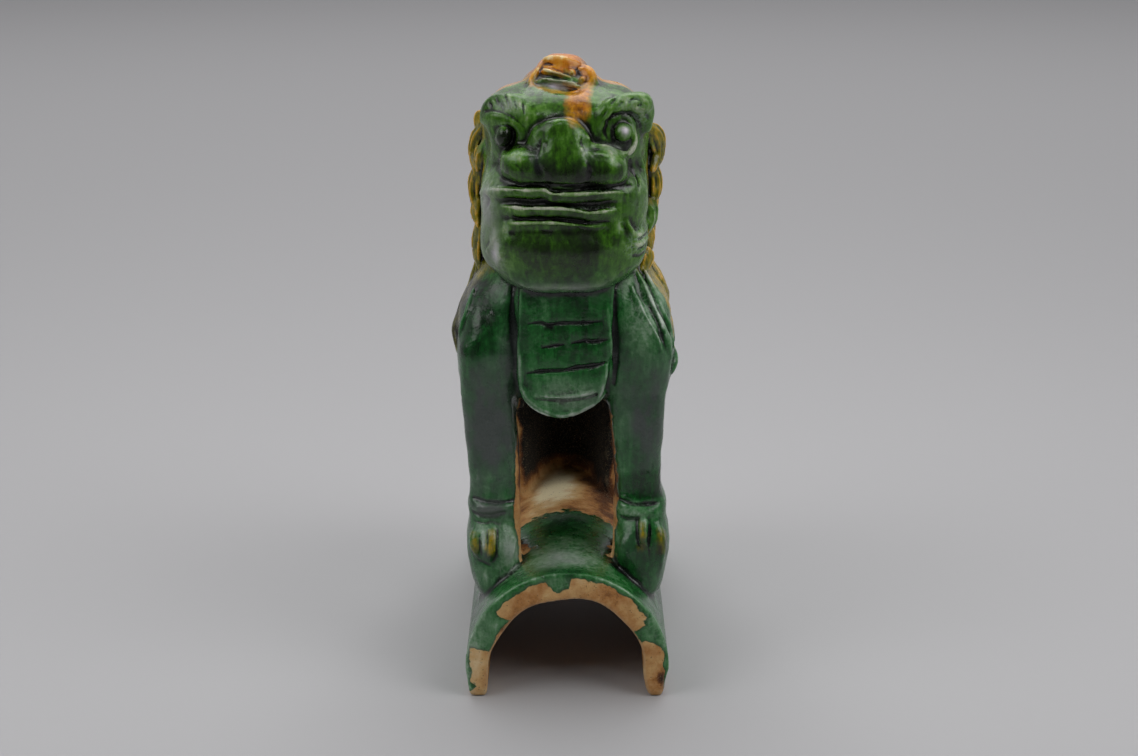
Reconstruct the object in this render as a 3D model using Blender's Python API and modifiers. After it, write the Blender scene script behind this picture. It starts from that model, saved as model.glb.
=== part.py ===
"""Ridge tile with a seated guardian lion, press-moulded and fired as one piece of glazed earthenware.

Metres, +Z up. The beast looks along -Y. The origin is the middle of the tile's footprint, so the
tile's two long edges rest on z = 0. Sizes and places below are in millimetres: x is measured from
the middle plane, depth from the tile's front rim towards the rear, and z from the ground.
"""

import math

import bmesh
import bpy
from mathutils import Euler, Matrix, Vector

MM = 0.001

# The half-round tile: two arcs on short legs
TILE_LENGTH = 210.0
TILE_OUTER_RADIUS = 50.0
TILE_OUTER_CENTRE_Z = 15.0
TILE_INNER_RADIUS = 38.0
TILE_INNER_CENTRE_Z = 13.5
FOOT_OUTER_X = 48.5
FOOT_INNER_X = 40.5
ARC_STEPS = 20

# The lion, from the crest down to the tail
CREST_TOP_Z = 309.5
SHOULDER_HALF_WIDTH = 56.0
HEAD_HALF_WIDTH = 41.0
BROW_Z = 286.0
EYE_Z = 276.5
EYE_LEFT_X = -28.5
EYE_RIGHT_X = 24.0
NOSE_Z = 270.0
LIP_HEIGHTS = (252.5, 245.5, 238.5)
LIP_REACH = 35.0
JAW_Z = 221.0
BIB_TOP_Z = 206.0
BIB_BOTTOM_Z = 138.0
BIB_HALF_WIDTH = 22.5
SHOULDER_Z = 168.0
LEG_X = 36.0
LEG_DEPTH = 44.0
PAW_Z = 64.0
HAUNCH_DEPTH = 160.0
HAUNCH_Z = 104.0
TAIL_DEPTH = 197.0

# The open hollow: a passage in from between the forelegs, a domed body and two side windows
PASSAGE_HALF_WIDTHS = (
    (-20.0, 23.5), (30.0, 23.0), (100.0, 25.5), (118.0, 24.0), (132.0, 20.0), (150.0, 15.0), (164.0, 3.0),
)
PASSAGE_ROOF = ((-20.0, 141.0), (30.0, 141.0), (60.0, 146.0), (100.0, 140.0), (150.0, 118.0), (164.0, 112.0))
PASSAGE_ROOF_CHAMFER = 5.0
PASSAGE_FLOOR_Z = 25.0
WINDOW_DEPTH = 100.0
WINDOW_Z = 62.0
WINDOW_RADII = (26.0, 66.0)
CAVITY_CENTRE = (0.0, 98.0, 124.0)
CAVITY_RADII = (30.0, 50.0, 46.0)

# Meshing of the modelled clay
VOXEL = 2.1
TRIANGLE_SHARE = 0.095

GREEN_GLAZE = (0.03, 0.14, 0.05, 1.0)


def clear_scene():
    for old in list(bpy.data.objects):
        bpy.data.objects.remove(old, do_unlink=True)


def collection(name):
    made = bpy.data.collections.new(name)
    bpy.context.scene.collection.children.link(made)
    return made


def new_object(name, mesh, home):
    """An object whose own y is the depth behind the tile's front rim."""
    made = bpy.data.objects.new(name, mesh)
    made.location = (0.0, -TILE_LENGTH / 2 * MM, 0.0)
    home.objects.link(made)
    return made


def helper(name, bm, home):
    """A cutter, or a mass of clay that the finished piece is made from."""
    mesh = bpy.data.meshes.new(name)
    bm.to_mesh(mesh)
    bm.free()
    made = new_object(name, mesh, home)
    made.hide_render = True
    made.display_type = "WIRE"
    return made


def superellipse_reach(ray, squareness):
    return sum(abs(c) ** squareness for c in ray) ** (-1.0 / squareness)


def lump(bm, centre, radii, squareness=2.0, tilt=(0.0, 0.0, 0.0), segments=20):
    """A rounded mass of clay; squareness 2 is an ellipsoid, and 5 is nearly a block."""
    made = bmesh.ops.create_uvsphere(bm, u_segments=segments, v_segments=segments // 2 + 2, radius=1.0)
    turn = Euler([math.radians(a) for a in tilt]).to_matrix().to_4x4()
    place = Matrix.Translation(Vector(centre) * MM) @ turn
    for vertex in made["verts"]:
        ray = vertex.co.normalized()
        reach = superellipse_reach(ray, squareness)
        vertex.co = place @ (Vector(c * reach * r for c, r in zip(ray, radii)) * MM)


def lump_pair(bm, centre, radii, squareness=2.0, tilt=(0.0, 0.0, 0.0), segments=16):
    """The same lump on both sides; centre and tilt are those of the +X one."""
    for side in (1, -1):
        mirrored = (side * centre[0], centre[1], centre[2])
        lump(bm, mirrored, radii, squareness, (tilt[0], side * tilt[1], side * tilt[2]), segments)


def roll(bm, points, radii):
    """A rolled coil of clay along a smooth line; it has one radius for each point."""
    curve = bpy.data.curves.new("roll", "CURVE")
    curve.dimensions = "3D"
    curve.bevel_depth = MM
    curve.bevel_resolution = 2
    curve.resolution_u = 4
    curve.use_fill_caps = True
    spline = curve.splines.new("NURBS")
    spline.points.add(len(points) - 1)
    spline.order_u = min(4, len(points))
    spline.use_endpoint_u = True
    for knot, co, radius in zip(spline.points, points, radii):
        knot.co = (*(Vector(co) * MM), 1.0)
        knot.radius = radius
    mesh = mesh_of_curve(curve)
    bm.from_mesh(mesh)
    bpy.data.meshes.remove(mesh)


def roll_pair(bm, points, radii):
    for side in (1, -1):
        roll(bm, [(side * x, depth, z) for x, depth, z in points], radii)


def mesh_of_curve(curve):
    carrier = bpy.data.objects.new("carrier", curve)
    bpy.context.scene.collection.objects.link(carrier)
    graph = bpy.context.evaluated_depsgraph_get()
    mesh = bpy.data.meshes.new_from_object(carrier.evaluated_get(graph))
    bpy.data.objects.remove(carrier, do_unlink=True)
    bpy.data.curves.remove(curve)
    return mesh


def arch_outline(radius, centre_z, foot_x, foot_z):
    """A half circle carried down by two straight legs to its feet."""
    arc = [
        (radius * math.cos(math.pi * i / ARC_STEPS), centre_z + radius * math.sin(math.pi * i / ARC_STEPS))
        for i in range(ARC_STEPS + 1)
    ]
    return [(foot_x, foot_z), *arc, (-foot_x, foot_z)]


def arch_prism(name, outline, front, rear, home):
    """The arch outline filled, from one depth to another."""
    curve = bpy.data.curves.new(name, "CURVE")
    curve.dimensions = "2D"
    curve.fill_mode = "BOTH"
    curve.extrude = (rear - front) / 2 * MM
    spline = curve.splines.new("POLY")
    spline.points.add(len(outline) - 1)
    spline.use_cyclic_u = True
    for knot, (x, z) in zip(spline.points, outline):
        knot.co = (x * MM, z * MM, 0.0, 1.0)
    mesh = mesh_of_curve(curve)
    stand = Matrix.Translation((0.0, (front + rear) / 2 * MM, 0.0)) @ Matrix.Rotation(math.pi / 2, 4, "X")
    mesh.transform(stand)
    bm = bmesh.new()
    bm.from_mesh(mesh)
    bpy.data.meshes.remove(mesh)
    bmesh.ops.remove_doubles(bm, verts=bm.verts, dist=0.01 * MM)
    bmesh.ops.recalc_face_normals(bm, faces=bm.faces)
    return helper(name, bm, home)


def trunk(bm):
    """Chest, back and rump, in one slope from the nape down to the tail."""
    lump(bm, (0, 62, SHOULDER_Z + 2), (48, 35, 44), 2.6)
    lump(bm, (0, 68, 212), (42, 34, 44), 2.6)
    lump(bm, (0, 104, 150), (42, 56, 46), 2.3, tilt=(-28, 0, 0))
    lump(bm, (0, 148, 112), (40, 46, 52), 2.4, tilt=(-8, 0, 0))


def forelegs(bm):
    """Two straight pillars, each with a cuff above a broad paw with two long toes in front."""
    lump_pair(bm, (LEG_X, LEG_DEPTH, 112), (13.2, 20, 60), 4.5)
    lump_pair(bm, (LEG_X + 3, LEG_DEPTH + 10, 156), (14, 26, 34), 2.8)
    lump_pair(bm, (LEG_X, LEG_DEPTH, 86), (14, 21, 5), 3.0)
    lump_pair(bm, (LEG_X, LEG_DEPTH - 1, PAW_Z), (14, 24, 24), 3.4)
    for toe_x in (LEG_X - 3, LEG_X + 6.5):
        lump_pair(bm, (toe_x, LEG_DEPTH - 23, PAW_Z + 4), (4.4, 6, 14), segments=12)


def hind_legs(bm):
    """Folded haunches joined by the seat, each with its foot set forward on the tile."""
    lump(bm, (0, HAUNCH_DEPTH, 70), (33, 36, 26), 4.0)
    lump_pair(bm, (30, HAUNCH_DEPTH, HAUNCH_Z), (19, 37, 44), 2.4, tilt=(16, 0, 0))
    lump_pair(bm, (35, HAUNCH_DEPTH, 58), (13, 31, 17), 3.0)
    for toe in range(3):
        lump_pair(bm, (28 + 7.5 * toe, HAUNCH_DEPTH - 26, 60 - 5 * toe), (4.2, 6, 11), segments=12)


def muzzle_point(x, z):
    """A point on the curved front of the muzzle, which is roundest at the corners of the mouth."""
    return (x, 7.0 + 26.0 * abs(x / LIP_REACH) ** 2.6, z)


def lips(bm):
    """Three level ridges right across the muzzle: upper lip, teeth and lower lip."""
    steps = 8
    for height, width in zip(LIP_HEIGHTS, (1.0, 0.97, 0.93)):
        line = [muzzle_point(LIP_REACH * width * (2 * i / steps - 1), height) for i in range(steps + 1)]
        roll(bm, line, [1.6] + [2.6] * (steps - 1) + [1.6])


def brows(bm):
    """A low brow on the left, and a higher, knobbed one on the right."""
    left = [(-15, 24, 280), (-24, 21, BROW_Z), (-33, 24, BROW_Z + 1), (-38, 34, BROW_Z - 3)]
    right = [(13, 24, 281), (20, 20, BROW_Z + 1), (29, 20, BROW_Z + 4), (36, 32, BROW_Z + 2)]
    roll(bm, left, [4, 5, 5.5, 4])
    roll(bm, right, [4, 5, 6, 5])


def head(bm):
    """A broad boxy head: balls for eyes, flat nose, round cheeks, a wide mouth and a heavy jaw."""
    lump(bm, (0, 54, 256), (HEAD_HALF_WIDTH, 34, 34), 2.7)
    lump(bm, (0, 52, 274), (38, 32, 21), 2.5)
    lump(bm, (0, 36, 243), (39, 27, 19), 3.0)
    lump(bm, (0, 30, NOSE_Z - 3), (11, 28, 17), 2.6)
    lump_pair(bm, (12.5, 12, NOSE_Z), (5, 6, 5.5))
    lump_pair(bm, (21, 19, NOSE_Z - 8), (12, 13, 9.5), 2.3)
    lump(bm, (0, 36, JAW_Z), (38, 28, 19), 2.8, tilt=(16, 0, 0))
    lump(bm, (EYE_LEFT_X, 20, EYE_Z), (6.5, 8, 7))
    lump(bm, (EYE_RIGHT_X, 18, EYE_Z), (6.5, 8, 7))
    lips(bm)
    brows(bm)


def crest(bm):
    """A flat curl of mane standing on the crown of the head."""
    lump(bm, (-2, 44, 296), (16, 15, 8), 2.4)
    top = CREST_TOP_Z - 1
    curl = [(-16, 40, 297), (-12, 38, top), (-1, 38, top), (9, 40, 304), (12, 44, 296)]
    roll(bm, curl, [3.4, 3.4, 3.4, 3.2, 3])


def mane(bm):
    """Curls in rows over the nape and sides, then long locks down on to the shoulders."""
    for row in range(8):
        z = 284 - 14.5 * row
        half_width = 39 - 0.4 * row
        centre_depth = 68 + 2.2 * row
        curls = 6 + row % 2
        for curl in range(curls):
            turn = math.pi * (curl + 0.5) / curls - 0.12
            x = half_width * math.cos(turn)
            lump(bm, (x, centre_depth + 26 * math.sin(turn), z), (8.5, 8.5, 8.5), segments=12)
    for z, length in ((269, 14), (248, 10), (237, 9), (221, 9)):
        lump_pair(bm, (44, 56, z), (4.5, 8, length), 2.2, segments=12)
    tip_x = SHOULDER_HALF_WIDTH - 2.2
    roll_pair(bm, [(41, 52, 214), (47, 48, 196), (tip_x, 48, 178), (tip_x - 1, 50, 164)], [4, 5, 4.5, 3])
    roll_pair(bm, [(40, 64, 214), (47, 64, 192), (tip_x, 66, 172), (tip_x - 3, 68, 156)], [4, 6, 5, 3])
    roll_pair(bm, [(38, 76, 210), (45, 80, 190), (49, 84, 170), (45, 88, 154)], [4, 6, 6, 3])


def tail(bm):
    """A bushy tail laid up the back in three pairs of flames."""
    bend = TAIL_DEPTH - 8
    roll(bm, [(0, bend, 68), (0, TAIL_DEPTH, 96), (0, bend, 136), (0, bend - 14, 176)], [9, 12, 12, 3])
    for lock in range(3):
        z = 88 + 24 * lock
        near = TAIL_DEPTH - 1 - 6 * lock
        roll_pair(bm, [(4, near, z), (20, near - 1, z + 10), (17, near - 10, z + 34)], [7, 7.5, 2.5])


def bib(bm):
    """The flat plate hung on the chest, rounded at its lower end."""
    middle, half = (BIB_TOP_Z + BIB_BOTTOM_Z) / 2, (BIB_TOP_Z - BIB_BOTTOM_Z) / 2
    lump(bm, (0, 34, middle), (BIB_HALF_WIDTH, 10, half), 4.0)


def clay_lion(home):
    """Every mass pressed into one skin, softened as wet clay is, and thinned to flat facets."""
    bm = bmesh.new()
    for part in (trunk, forelegs, hind_legs, head, crest, mane, tail, bib):
        part(bm)
    made = helper("clay_lion", bm, home)
    skin = made.modifiers.new("one skin", "REMESH")
    skin.mode = "VOXEL"
    skin.voxel_size = VOXEL * MM
    soften = made.modifiers.new("soften", "SMOOTH")
    soften.factor = 0.5
    soften.iterations = 2
    facet = made.modifiers.new("facet", "DECIMATE")
    facet.ratio = TRIANGLE_SHARE
    return made


def depth_curve(points, depth):
    """The value at this depth on a line of (depth, value) points."""
    for (near, first), (far, last) in zip(points, points[1:]):
        if depth <= far:
            return first + (last - first) * (depth - near) / (far - near)
    return points[-1][1]


def passage(home):
    """The way in between the forelegs, narrowing between the haunches, with a chamfered roof."""
    bm = bmesh.new()
    rings = []
    for depth, half in PASSAGE_HALF_WIDTHS:
        roof = depth_curve(PASSAGE_ROOF, depth)
        shoulder = roof - PASSAGE_ROOF_CHAMFER
        flat = max(half - PASSAGE_ROOF_CHAMFER, half / 2)
        outline = [(-half, PASSAGE_FLOOR_Z), (half, PASSAGE_FLOOR_Z), (half, shoulder), (flat, roof)]
        outline += [(-flat, roof), (-half, shoulder)]
        rings.append([bm.verts.new(Vector((x, depth, z)) * MM) for x, z in outline])
    for near, far in zip(rings, rings[1:]):
        for i in range(len(near)):
            bm.faces.new((near[i - 1], near[i], far[i], far[i - 1]))
    bm.faces.new(rings[0])
    bm.faces.new(reversed(rings[-1]))
    bmesh.ops.triangulate(bm, faces=bm.faces)
    bmesh.ops.recalc_face_normals(bm, faces=bm.faces)
    return helper("passage", bm, home)


def cavity(home):
    """The domed hollow of the body, above and beside the passage."""
    bm = bmesh.new()
    lump(bm, CAVITY_CENTRE, CAVITY_RADII, 2.3)
    return helper("cavity", bm, home)


def windows(home):
    """The gap on each side between foreleg and haunch: one cutter right through."""
    bm = bmesh.new()
    through = 3.0 * TILE_OUTER_RADIUS
    bmesh.ops.create_cone(bm, cap_ends=True, segments=24, radius1=1.0, radius2=1.0, depth=through)
    for vertex in bm.verts:
        ray = Vector(vertex.co.xy).normalized()
        reach = superellipse_reach(ray, 3.2)
        depth = WINDOW_DEPTH + WINDOW_RADII[0] * ray.x * reach
        z = WINDOW_Z + WINDOW_RADII[1] * ray.y * reach
        vertex.co = Vector((vertex.co.z, depth, z)) * MM
    bmesh.ops.recalc_face_normals(bm, faces=bm.faces)
    return helper("windows", bm, home)


def bib_grooves(home):
    """Four shallow cuts across the bib, in one cutter."""
    bm = bmesh.new()
    for groove in range(4):
        z = BIB_BOTTOM_Z + 9 + 13.5 * groove
        made = bmesh.ops.create_cube(bm, size=2.0)
        for vertex in made["verts"]:
            across = vertex.co.x * (BIB_HALF_WIDTH - 4)
            vertex.co = Vector((across, 24 + 2 * vertex.co.y, z + 0.9 * vertex.co.z + 0.04 * across)) * MM
    return helper("bib_grooves", bm, home)


def boolean(target, name, operation, other):
    cut = target.modifiers.new(name, "BOOLEAN")
    cut.operation = operation
    cut.solver = "EXACT"
    cut.object = other


def glaze_material():
    made = bpy.data.materials.new("green_glaze")
    made.use_nodes = True
    surface = made.node_tree.nodes["Principled BSDF"]
    surface.inputs["Base Color"].default_value = GREEN_GLAZE
    surface.inputs["Roughness"].default_value = 0.2
    surface.inputs["Metallic"].default_value = 0.0
    return made


def lion_ridge_tile(parts, helpers):
    """The finished piece: the lion hollowed, luted to the tile, and the tile's channel cut last."""
    lion = clay_lion(helpers)
    boolean(lion, "passage", "DIFFERENCE", passage(helpers))
    boolean(lion, "cavity", "DIFFERENCE", cavity(helpers))
    boolean(lion, "windows", "DIFFERENCE", windows(helpers))
    boolean(lion, "bib grooves", "DIFFERENCE", bib_grooves(helpers))
    outer = arch_outline(TILE_OUTER_RADIUS, TILE_OUTER_CENTRE_Z, FOOT_OUTER_X, 0.0)
    inner = arch_outline(TILE_INNER_RADIUS, TILE_INNER_CENTRE_Z, FOOT_INNER_X, -10.0)
    tile = arch_prism("tile", outer, 0.0, TILE_LENGTH, helpers)
    channel = arch_prism("channel", inner, -10.0, TILE_LENGTH + 10.0, helpers)
    made = new_object("lion_ridge_tile", tile.data.copy(), parts)
    made.data.materials.append(glaze_material())
    boolean(made, "lute on the lion", "UNION", lion)
    boolean(made, "channel", "DIFFERENCE", channel)


def main():
    clear_scene()
    parts = collection("ridge_beast_ornament")
    helpers = collection("clay_and_cutters")
    lion_ridge_tile(parts, helpers)


main()
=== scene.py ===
"""Glazed ridge tile with a seated guardian lion: the finish of the piece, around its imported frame.

The clay is worked as a signed distance field in millimetres: x to the viewer's right, depth back from
the tile's front rim, z up from the ground. Masses are blended on, hollows and lines are cut, and one
mesh is taken from the field. Its glaze is painted by attributes that the same field gives.
"""

import math

import bmesh
import bpy
import numpy as np
import openvdb as vdb
from mathutils import Euler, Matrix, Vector


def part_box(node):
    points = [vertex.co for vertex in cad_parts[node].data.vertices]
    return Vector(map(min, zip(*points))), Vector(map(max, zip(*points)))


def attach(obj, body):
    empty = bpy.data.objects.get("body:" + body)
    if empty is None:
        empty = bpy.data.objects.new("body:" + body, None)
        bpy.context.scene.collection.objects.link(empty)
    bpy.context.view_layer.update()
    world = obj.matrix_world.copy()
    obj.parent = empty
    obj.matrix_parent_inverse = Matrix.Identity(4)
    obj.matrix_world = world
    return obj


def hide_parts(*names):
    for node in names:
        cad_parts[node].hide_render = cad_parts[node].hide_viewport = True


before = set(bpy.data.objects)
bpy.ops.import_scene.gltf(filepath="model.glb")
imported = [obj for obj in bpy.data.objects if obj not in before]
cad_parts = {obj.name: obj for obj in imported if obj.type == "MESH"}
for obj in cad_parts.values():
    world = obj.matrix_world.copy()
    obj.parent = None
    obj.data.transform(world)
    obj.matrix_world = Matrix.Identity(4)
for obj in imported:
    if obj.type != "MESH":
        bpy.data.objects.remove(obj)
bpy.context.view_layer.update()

# ---------------------------------------------------------------- sizes, in millimetres
MM = 0.001
LOW, HIGH = (np.array(corner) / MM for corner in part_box("lion_ridge_tile"))
FRONT_Y = LOW[1]
LENGTH = HIGH[1] - LOW[1]

VOXEL = 0.8
FAR = 12.0
FLAT_ENOUGH = 0.05  # how far faces may be merged where the surface is flat, from 0 for none to 1

TILE_RADIUS = 50.0
TILE_CENTRE_Z = 15.0
CHANNEL_RADIUS = 38.0
CHANNEL_CENTRE_Z = 13.5
FACE_X = -1.0
DEEPEST_FRONT = 46.0


# ---------------------------------------------------------------- the clay
def lying_along(values, axis):
    """The values shaped to run along one axis of a field, so that they spread over the other two."""
    return values.reshape([-1 if i == axis else 1 for i in range(3)])


class Clay:
    """A signed distance field over the object's box, negative inside the clay."""

    def __init__(self, low, high):
        self.axes = [np.arange(a, b, VOXEL, dtype=np.float32) for a, b in zip(low, high)]
        self.field = np.full([len(axis) for axis in self.axes], FAR, np.float32)

    def window(self, shape, blend):
        """The part of the field that a shape blended in so softly can change, and its coordinates."""
        margin = 2.0 * blend + 3.0
        slices, grids = [], []
        for i, axis in enumerate(self.axes):
            start, stop = np.searchsorted(axis, (shape.low[i] - margin, shape.high[i] + margin))
            slices.append(slice(start, stop))
            grids.append(lying_along(axis[start:stop], i))
        return tuple(slices), grids

    def add(self, shape, blend):
        where, grids = self.window(shape, blend)
        self.field[where] = smooth_min(self.field[where], shape.distance(*grids), blend)

    def cut(self, shape, blend):
        where, grids = self.window(shape, blend)
        self.field[where] = -smooth_min(-self.field[where], shape.distance(*grids), blend)

    def sample(self, points):
        """The field at points (n, 3), by trilinear interpolation."""
        points = np.asarray(points, np.float32)
        result = np.zeros(len(points), np.float32)
        index, part = [], []
        for i, axis in enumerate(self.axes):
            at = np.clip((points[:, i] - axis[0]) / VOXEL, 0, len(axis) - 1.001)
            index.append(at.astype(int))
            part.append(at - index[-1])
        for corner in range(8):
            bits = [(corner >> i) & 1 for i in range(3)]
            weight = np.ones(len(points), np.float32)
            for i, bit in enumerate(bits):
                weight = weight * (part[i] if bit else 1 - part[i])
            result += weight * self.field[index[0] + bits[0], index[1] + bits[1], index[2] + bits[2]]
        return result

    def hit(self, start, way, reach=120.0):
        """Where a ray from start first meets the clay."""
        steps = np.arange(0.0, reach, 0.5 * VOXEL)
        way = np.asarray(way, float) / np.linalg.norm(way)
        points = np.asarray(start, float) + steps[:, None] * way
        inside = np.flatnonzero(self.sample(points) < 0)
        return points[inside[0]] if len(inside) else points[-1]

    def front(self, x, z, proud=0.0):
        """The point of the front surface at x and z, standing proud by so much."""
        d = min(self.hit((x, -8.0, z), (0, 1, 0))[1], DEEPEST_FRONT)
        return (x, d - proud, z)


def smooth_min(a, b, blend):
    """The lesser of two distances, rounded over where they differ by less than blend."""
    if blend <= 0:
        return np.minimum(a, b)
    h = np.clip(0.5 + 0.5 * (b - a) / blend, 0.0, 1.0)
    return b + (a - b) * h - blend * h * (1.0 - h)


class Shape:
    """A distance function and the box that holds its surface."""

    def __init__(self, low, high, distance):
        self.low, self.high, self.distance = np.array(low, float), np.array(high, float), distance


def blob(centre, radii, square=2.0, turn=(0, 0, 0)):
    """A superellipsoid; square 2 is an ellipsoid, 4 nearly a block."""
    centre, radii = np.array(centre, float), np.array(radii, float)
    spin = np.array(Euler([math.radians(a) for a in turn]).to_matrix())
    reach = np.abs(spin) @ radii if any(turn) else radii

    def distance(x, y, z):
        x, y, z = x - centre[0], y - centre[1], z - centre[2]
        if any(turn):
            x, y, z = (spin[0, i] * x + spin[1, i] * y + spin[2, i] * z for i in range(3))
        powers = [np.abs(c / r) ** square for c, r in zip((x, y, z), radii)]
        size = np.maximum(powers[0] + powers[1] + powers[2], 1e-6)
        level = size ** (1.0 / square)
        slope = 0.0
        for power, r in zip(powers, radii):
            slope = slope + (power ** ((square - 1) / square) / r) ** 2
        slope = np.sqrt(slope) / level ** (square - 1)
        return (level - 1.0) / slope

    return Shape(centre - reach, centre + reach, distance)


def smooth_line(points, per_span):
    """A Catmull-Rom curve through the points, which may carry a radius as fourth number."""
    points = np.array(points, float)
    if len(points) < 3:
        return points
    padded = np.vstack([2 * points[0] - points[1], points, 2 * points[-1] - points[-2]])
    line = []
    for i in range(1, len(padded) - 2):
        p0, p1, p2, p3 = padded[i - 1 : i + 3]
        for t in np.arange(per_span) / per_span:
            line.append(
                0.5 * (2 * p1 + (p2 - p0) * t + (2 * p0 - 5 * p1 + 4 * p2 - p3) * t**2
                       + (3 * p1 - p0 - 3 * p2 + p3) * t**3)
            )
    line.append(points[-1])
    return np.array(line)


def coil(points, radii, per_span=5):
    """A round roll of clay along a smooth line, with a radius at each point."""
    radii = [radii] * len(points) if np.isscalar(radii) else radii
    line = smooth_line([(*p, r) for p, r in zip(points, radii)], per_span)

    def distance(x, y, z):
        nearest = np.float32(1e3)
        for a, b in zip(line[:-1], line[1:]):
            ab = b[:3] - a[:3]
            length = max(float(ab @ ab), 1e-9)
            t = ((x - a[0]) * ab[0] + (y - a[1]) * ab[1] + (z - a[2]) * ab[2]) / length
            t = np.clip(t, 0.0, 1.0)
            gap = (x - a[0] - t * ab[0]) ** 2 + (y - a[1] - t * ab[1]) ** 2 + (z - a[2] - t * ab[2]) ** 2
            nearest = np.minimum(nearest, np.sqrt(gap) - (a[3] + t * (b[3] - a[3])))
        return nearest

    margin = line[:, 3].max()
    return Shape(line[:, :3].min(0) - margin, line[:, :3].max(0) + margin, distance)


def limb(sections, corner, roundness):
    """An upright rounded box through sections (z, x, depth, half width, half depth), lowest first."""
    rows = smooth_line(sections, 6).T

    def distance(x, y, z):
        centre_x, centre_y, half_x, half_y = (np.interp(z, rows[0], row) for row in rows[1:])
        across = np.abs(x - centre_x) - half_x + corner
        deep = np.abs(y - centre_y) - half_y + corner
        tall = np.abs(z - (rows[0][0] + rows[0][-1]) / 2) - (rows[0][-1] - rows[0][0]) / 2
        outside = np.sqrt(np.maximum(across, 0) ** 2 + np.maximum(deep, 0) ** 2)
        side = outside + np.minimum(np.maximum(across, deep), 0) - corner
        return -smooth_min(-side, -(tall + 0 * side), roundness)

    low = ((rows[1] - rows[3]).min(), (rows[2] - rows[4]).min(), rows[0][0])
    high = ((rows[1] + rows[3]).max(), (rows[2] + rows[4]).max(), rows[0][-1])
    return Shape(low, high, distance)


# ---------------------------------------------------------------- the lion's body
def ridge(clay, line, size, proud=0, blend=0.9):
    """A raised line along points (x, z) of the front surface, thinner at its ends."""
    sizes = [0.45 * size] + [size] * (len(line) - 2) + [0.45 * size]
    clay.add(coil([clay.front(x, z, proud) for x, z in line], sizes), blend)


def groove(clay, line, size, proud=0, blend=0.6):
    """A cut line along points (x, z) of the front surface, thinner at its ends."""
    sizes = [0.45 * size] + [size] * (len(line) - 2) + [0.45 * size]
    clay.cut(coil([clay.front(x, z, proud) for x, z in line], sizes), blend)


def trunk(clay):
    """Chest, neck, back and rump in one slope down to the tail."""
    clay.add(blob((FACE_X, 66, 172), (50, 38, 42), 2.6), 0)
    clay.add(blob((FACE_X, 70, 214), (40, 34, 44), 2.6), 9)
    clay.add(blob((FACE_X, 106, 152), (42, 54, 44), 2.3, (-28, 0, 0)), 12)
    clay.add(blob((FACE_X, 150, 112), (40, 46, 52), 2.4, (-8, 0, 0)), 14)


def haunches(clay):
    """Folded hind legs, each with a three-toed foot set on the tile's flank."""
    clay.add(limb([(40, FACE_X, 162, 33, 36), (92, FACE_X, 160, 33, 36)], 16, 4), 8)
    for side in (1, -1):
        clay.add(blob((FACE_X + side * 29, 160, 104), (19, 40, 42), 2.4, (14, 0, 0)), 5)
        clay.add(blob((FACE_X + side * 35, 158, 60), (13, 32, 17), 2.8, (-4, 0, 0)), 5)
        for toe in range(3):
            x = FACE_X + side * (27 + 7.5 * toe)
            clay.add(blob((x, 133, 61 - 5.5 * toe), (4.4, 7, 11), 2.2), 1.6)
        knee = [(FACE_X + side * 47, d, z) for d, z in ((134, 84), (150, 74), (172, 78), (188, 92))]
        clay.cut(coil(knee, [0.8, 1.6, 1.6, 0.8]), 3)


def forelegs(clay):
    """Straight pillars that hang from the shoulders, each with a cuff and a clawed paw."""
    left = [(50, -35.3, 44, 12, 17), (90, -35.4, 45, 12.4, 17), (109, -36.4, 46, 12.6, 18)]
    left += [(132, -38.4, 47, 12.5, 19), (147, -39.4, 48, 12.6, 20), (172, -39.6, 52, 12.6, 24)]
    right = [(50, 35.6, 44, 11.6, 17), (90, 35.5, 45, 11.2, 17), (105, 35, 46, 11.4, 18)]
    right += [(122, 34.4, 46, 12.4, 18.5), (139, 34.2, 47, 13.8, 19), (150, 34.8, 49, 14.4, 20)]
    right.append((172, 37.5, 52, 14.4, 24))
    for side, sections in ((-1, left), (1, right)):
        clay.add(blob((FACE_X + side * 38.5, 56, 168), (14, 29, 27), 2.4), 8)
        clay.add(limb(sections, 7, 8), 6)
        paw(clay, side, side * 35.6 + (1.0 if side > 0 else 0))
    ridge(clay, [(-27.4, 139), (-26.6, 128), (-25.4, 118)], 0.8, -0.2, 0.6)
    left_claws(clay)
    right_claws(clay)


def paw(clay, side, x):
    """The rounded mass of a paw under the swell of its cuff."""
    clay.add(blob((x, 44, 87), (12.8, 18.8, 6), 2.6), 5.5)
    clay.add(blob((x + side * 0.4, 43, 68), (14.4, 22.6, 18), 2.7), 3.4)
    clay.add(blob((x - side * 1, 42, 53), (12.6, 22, 14), 2.6), 4)


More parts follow.
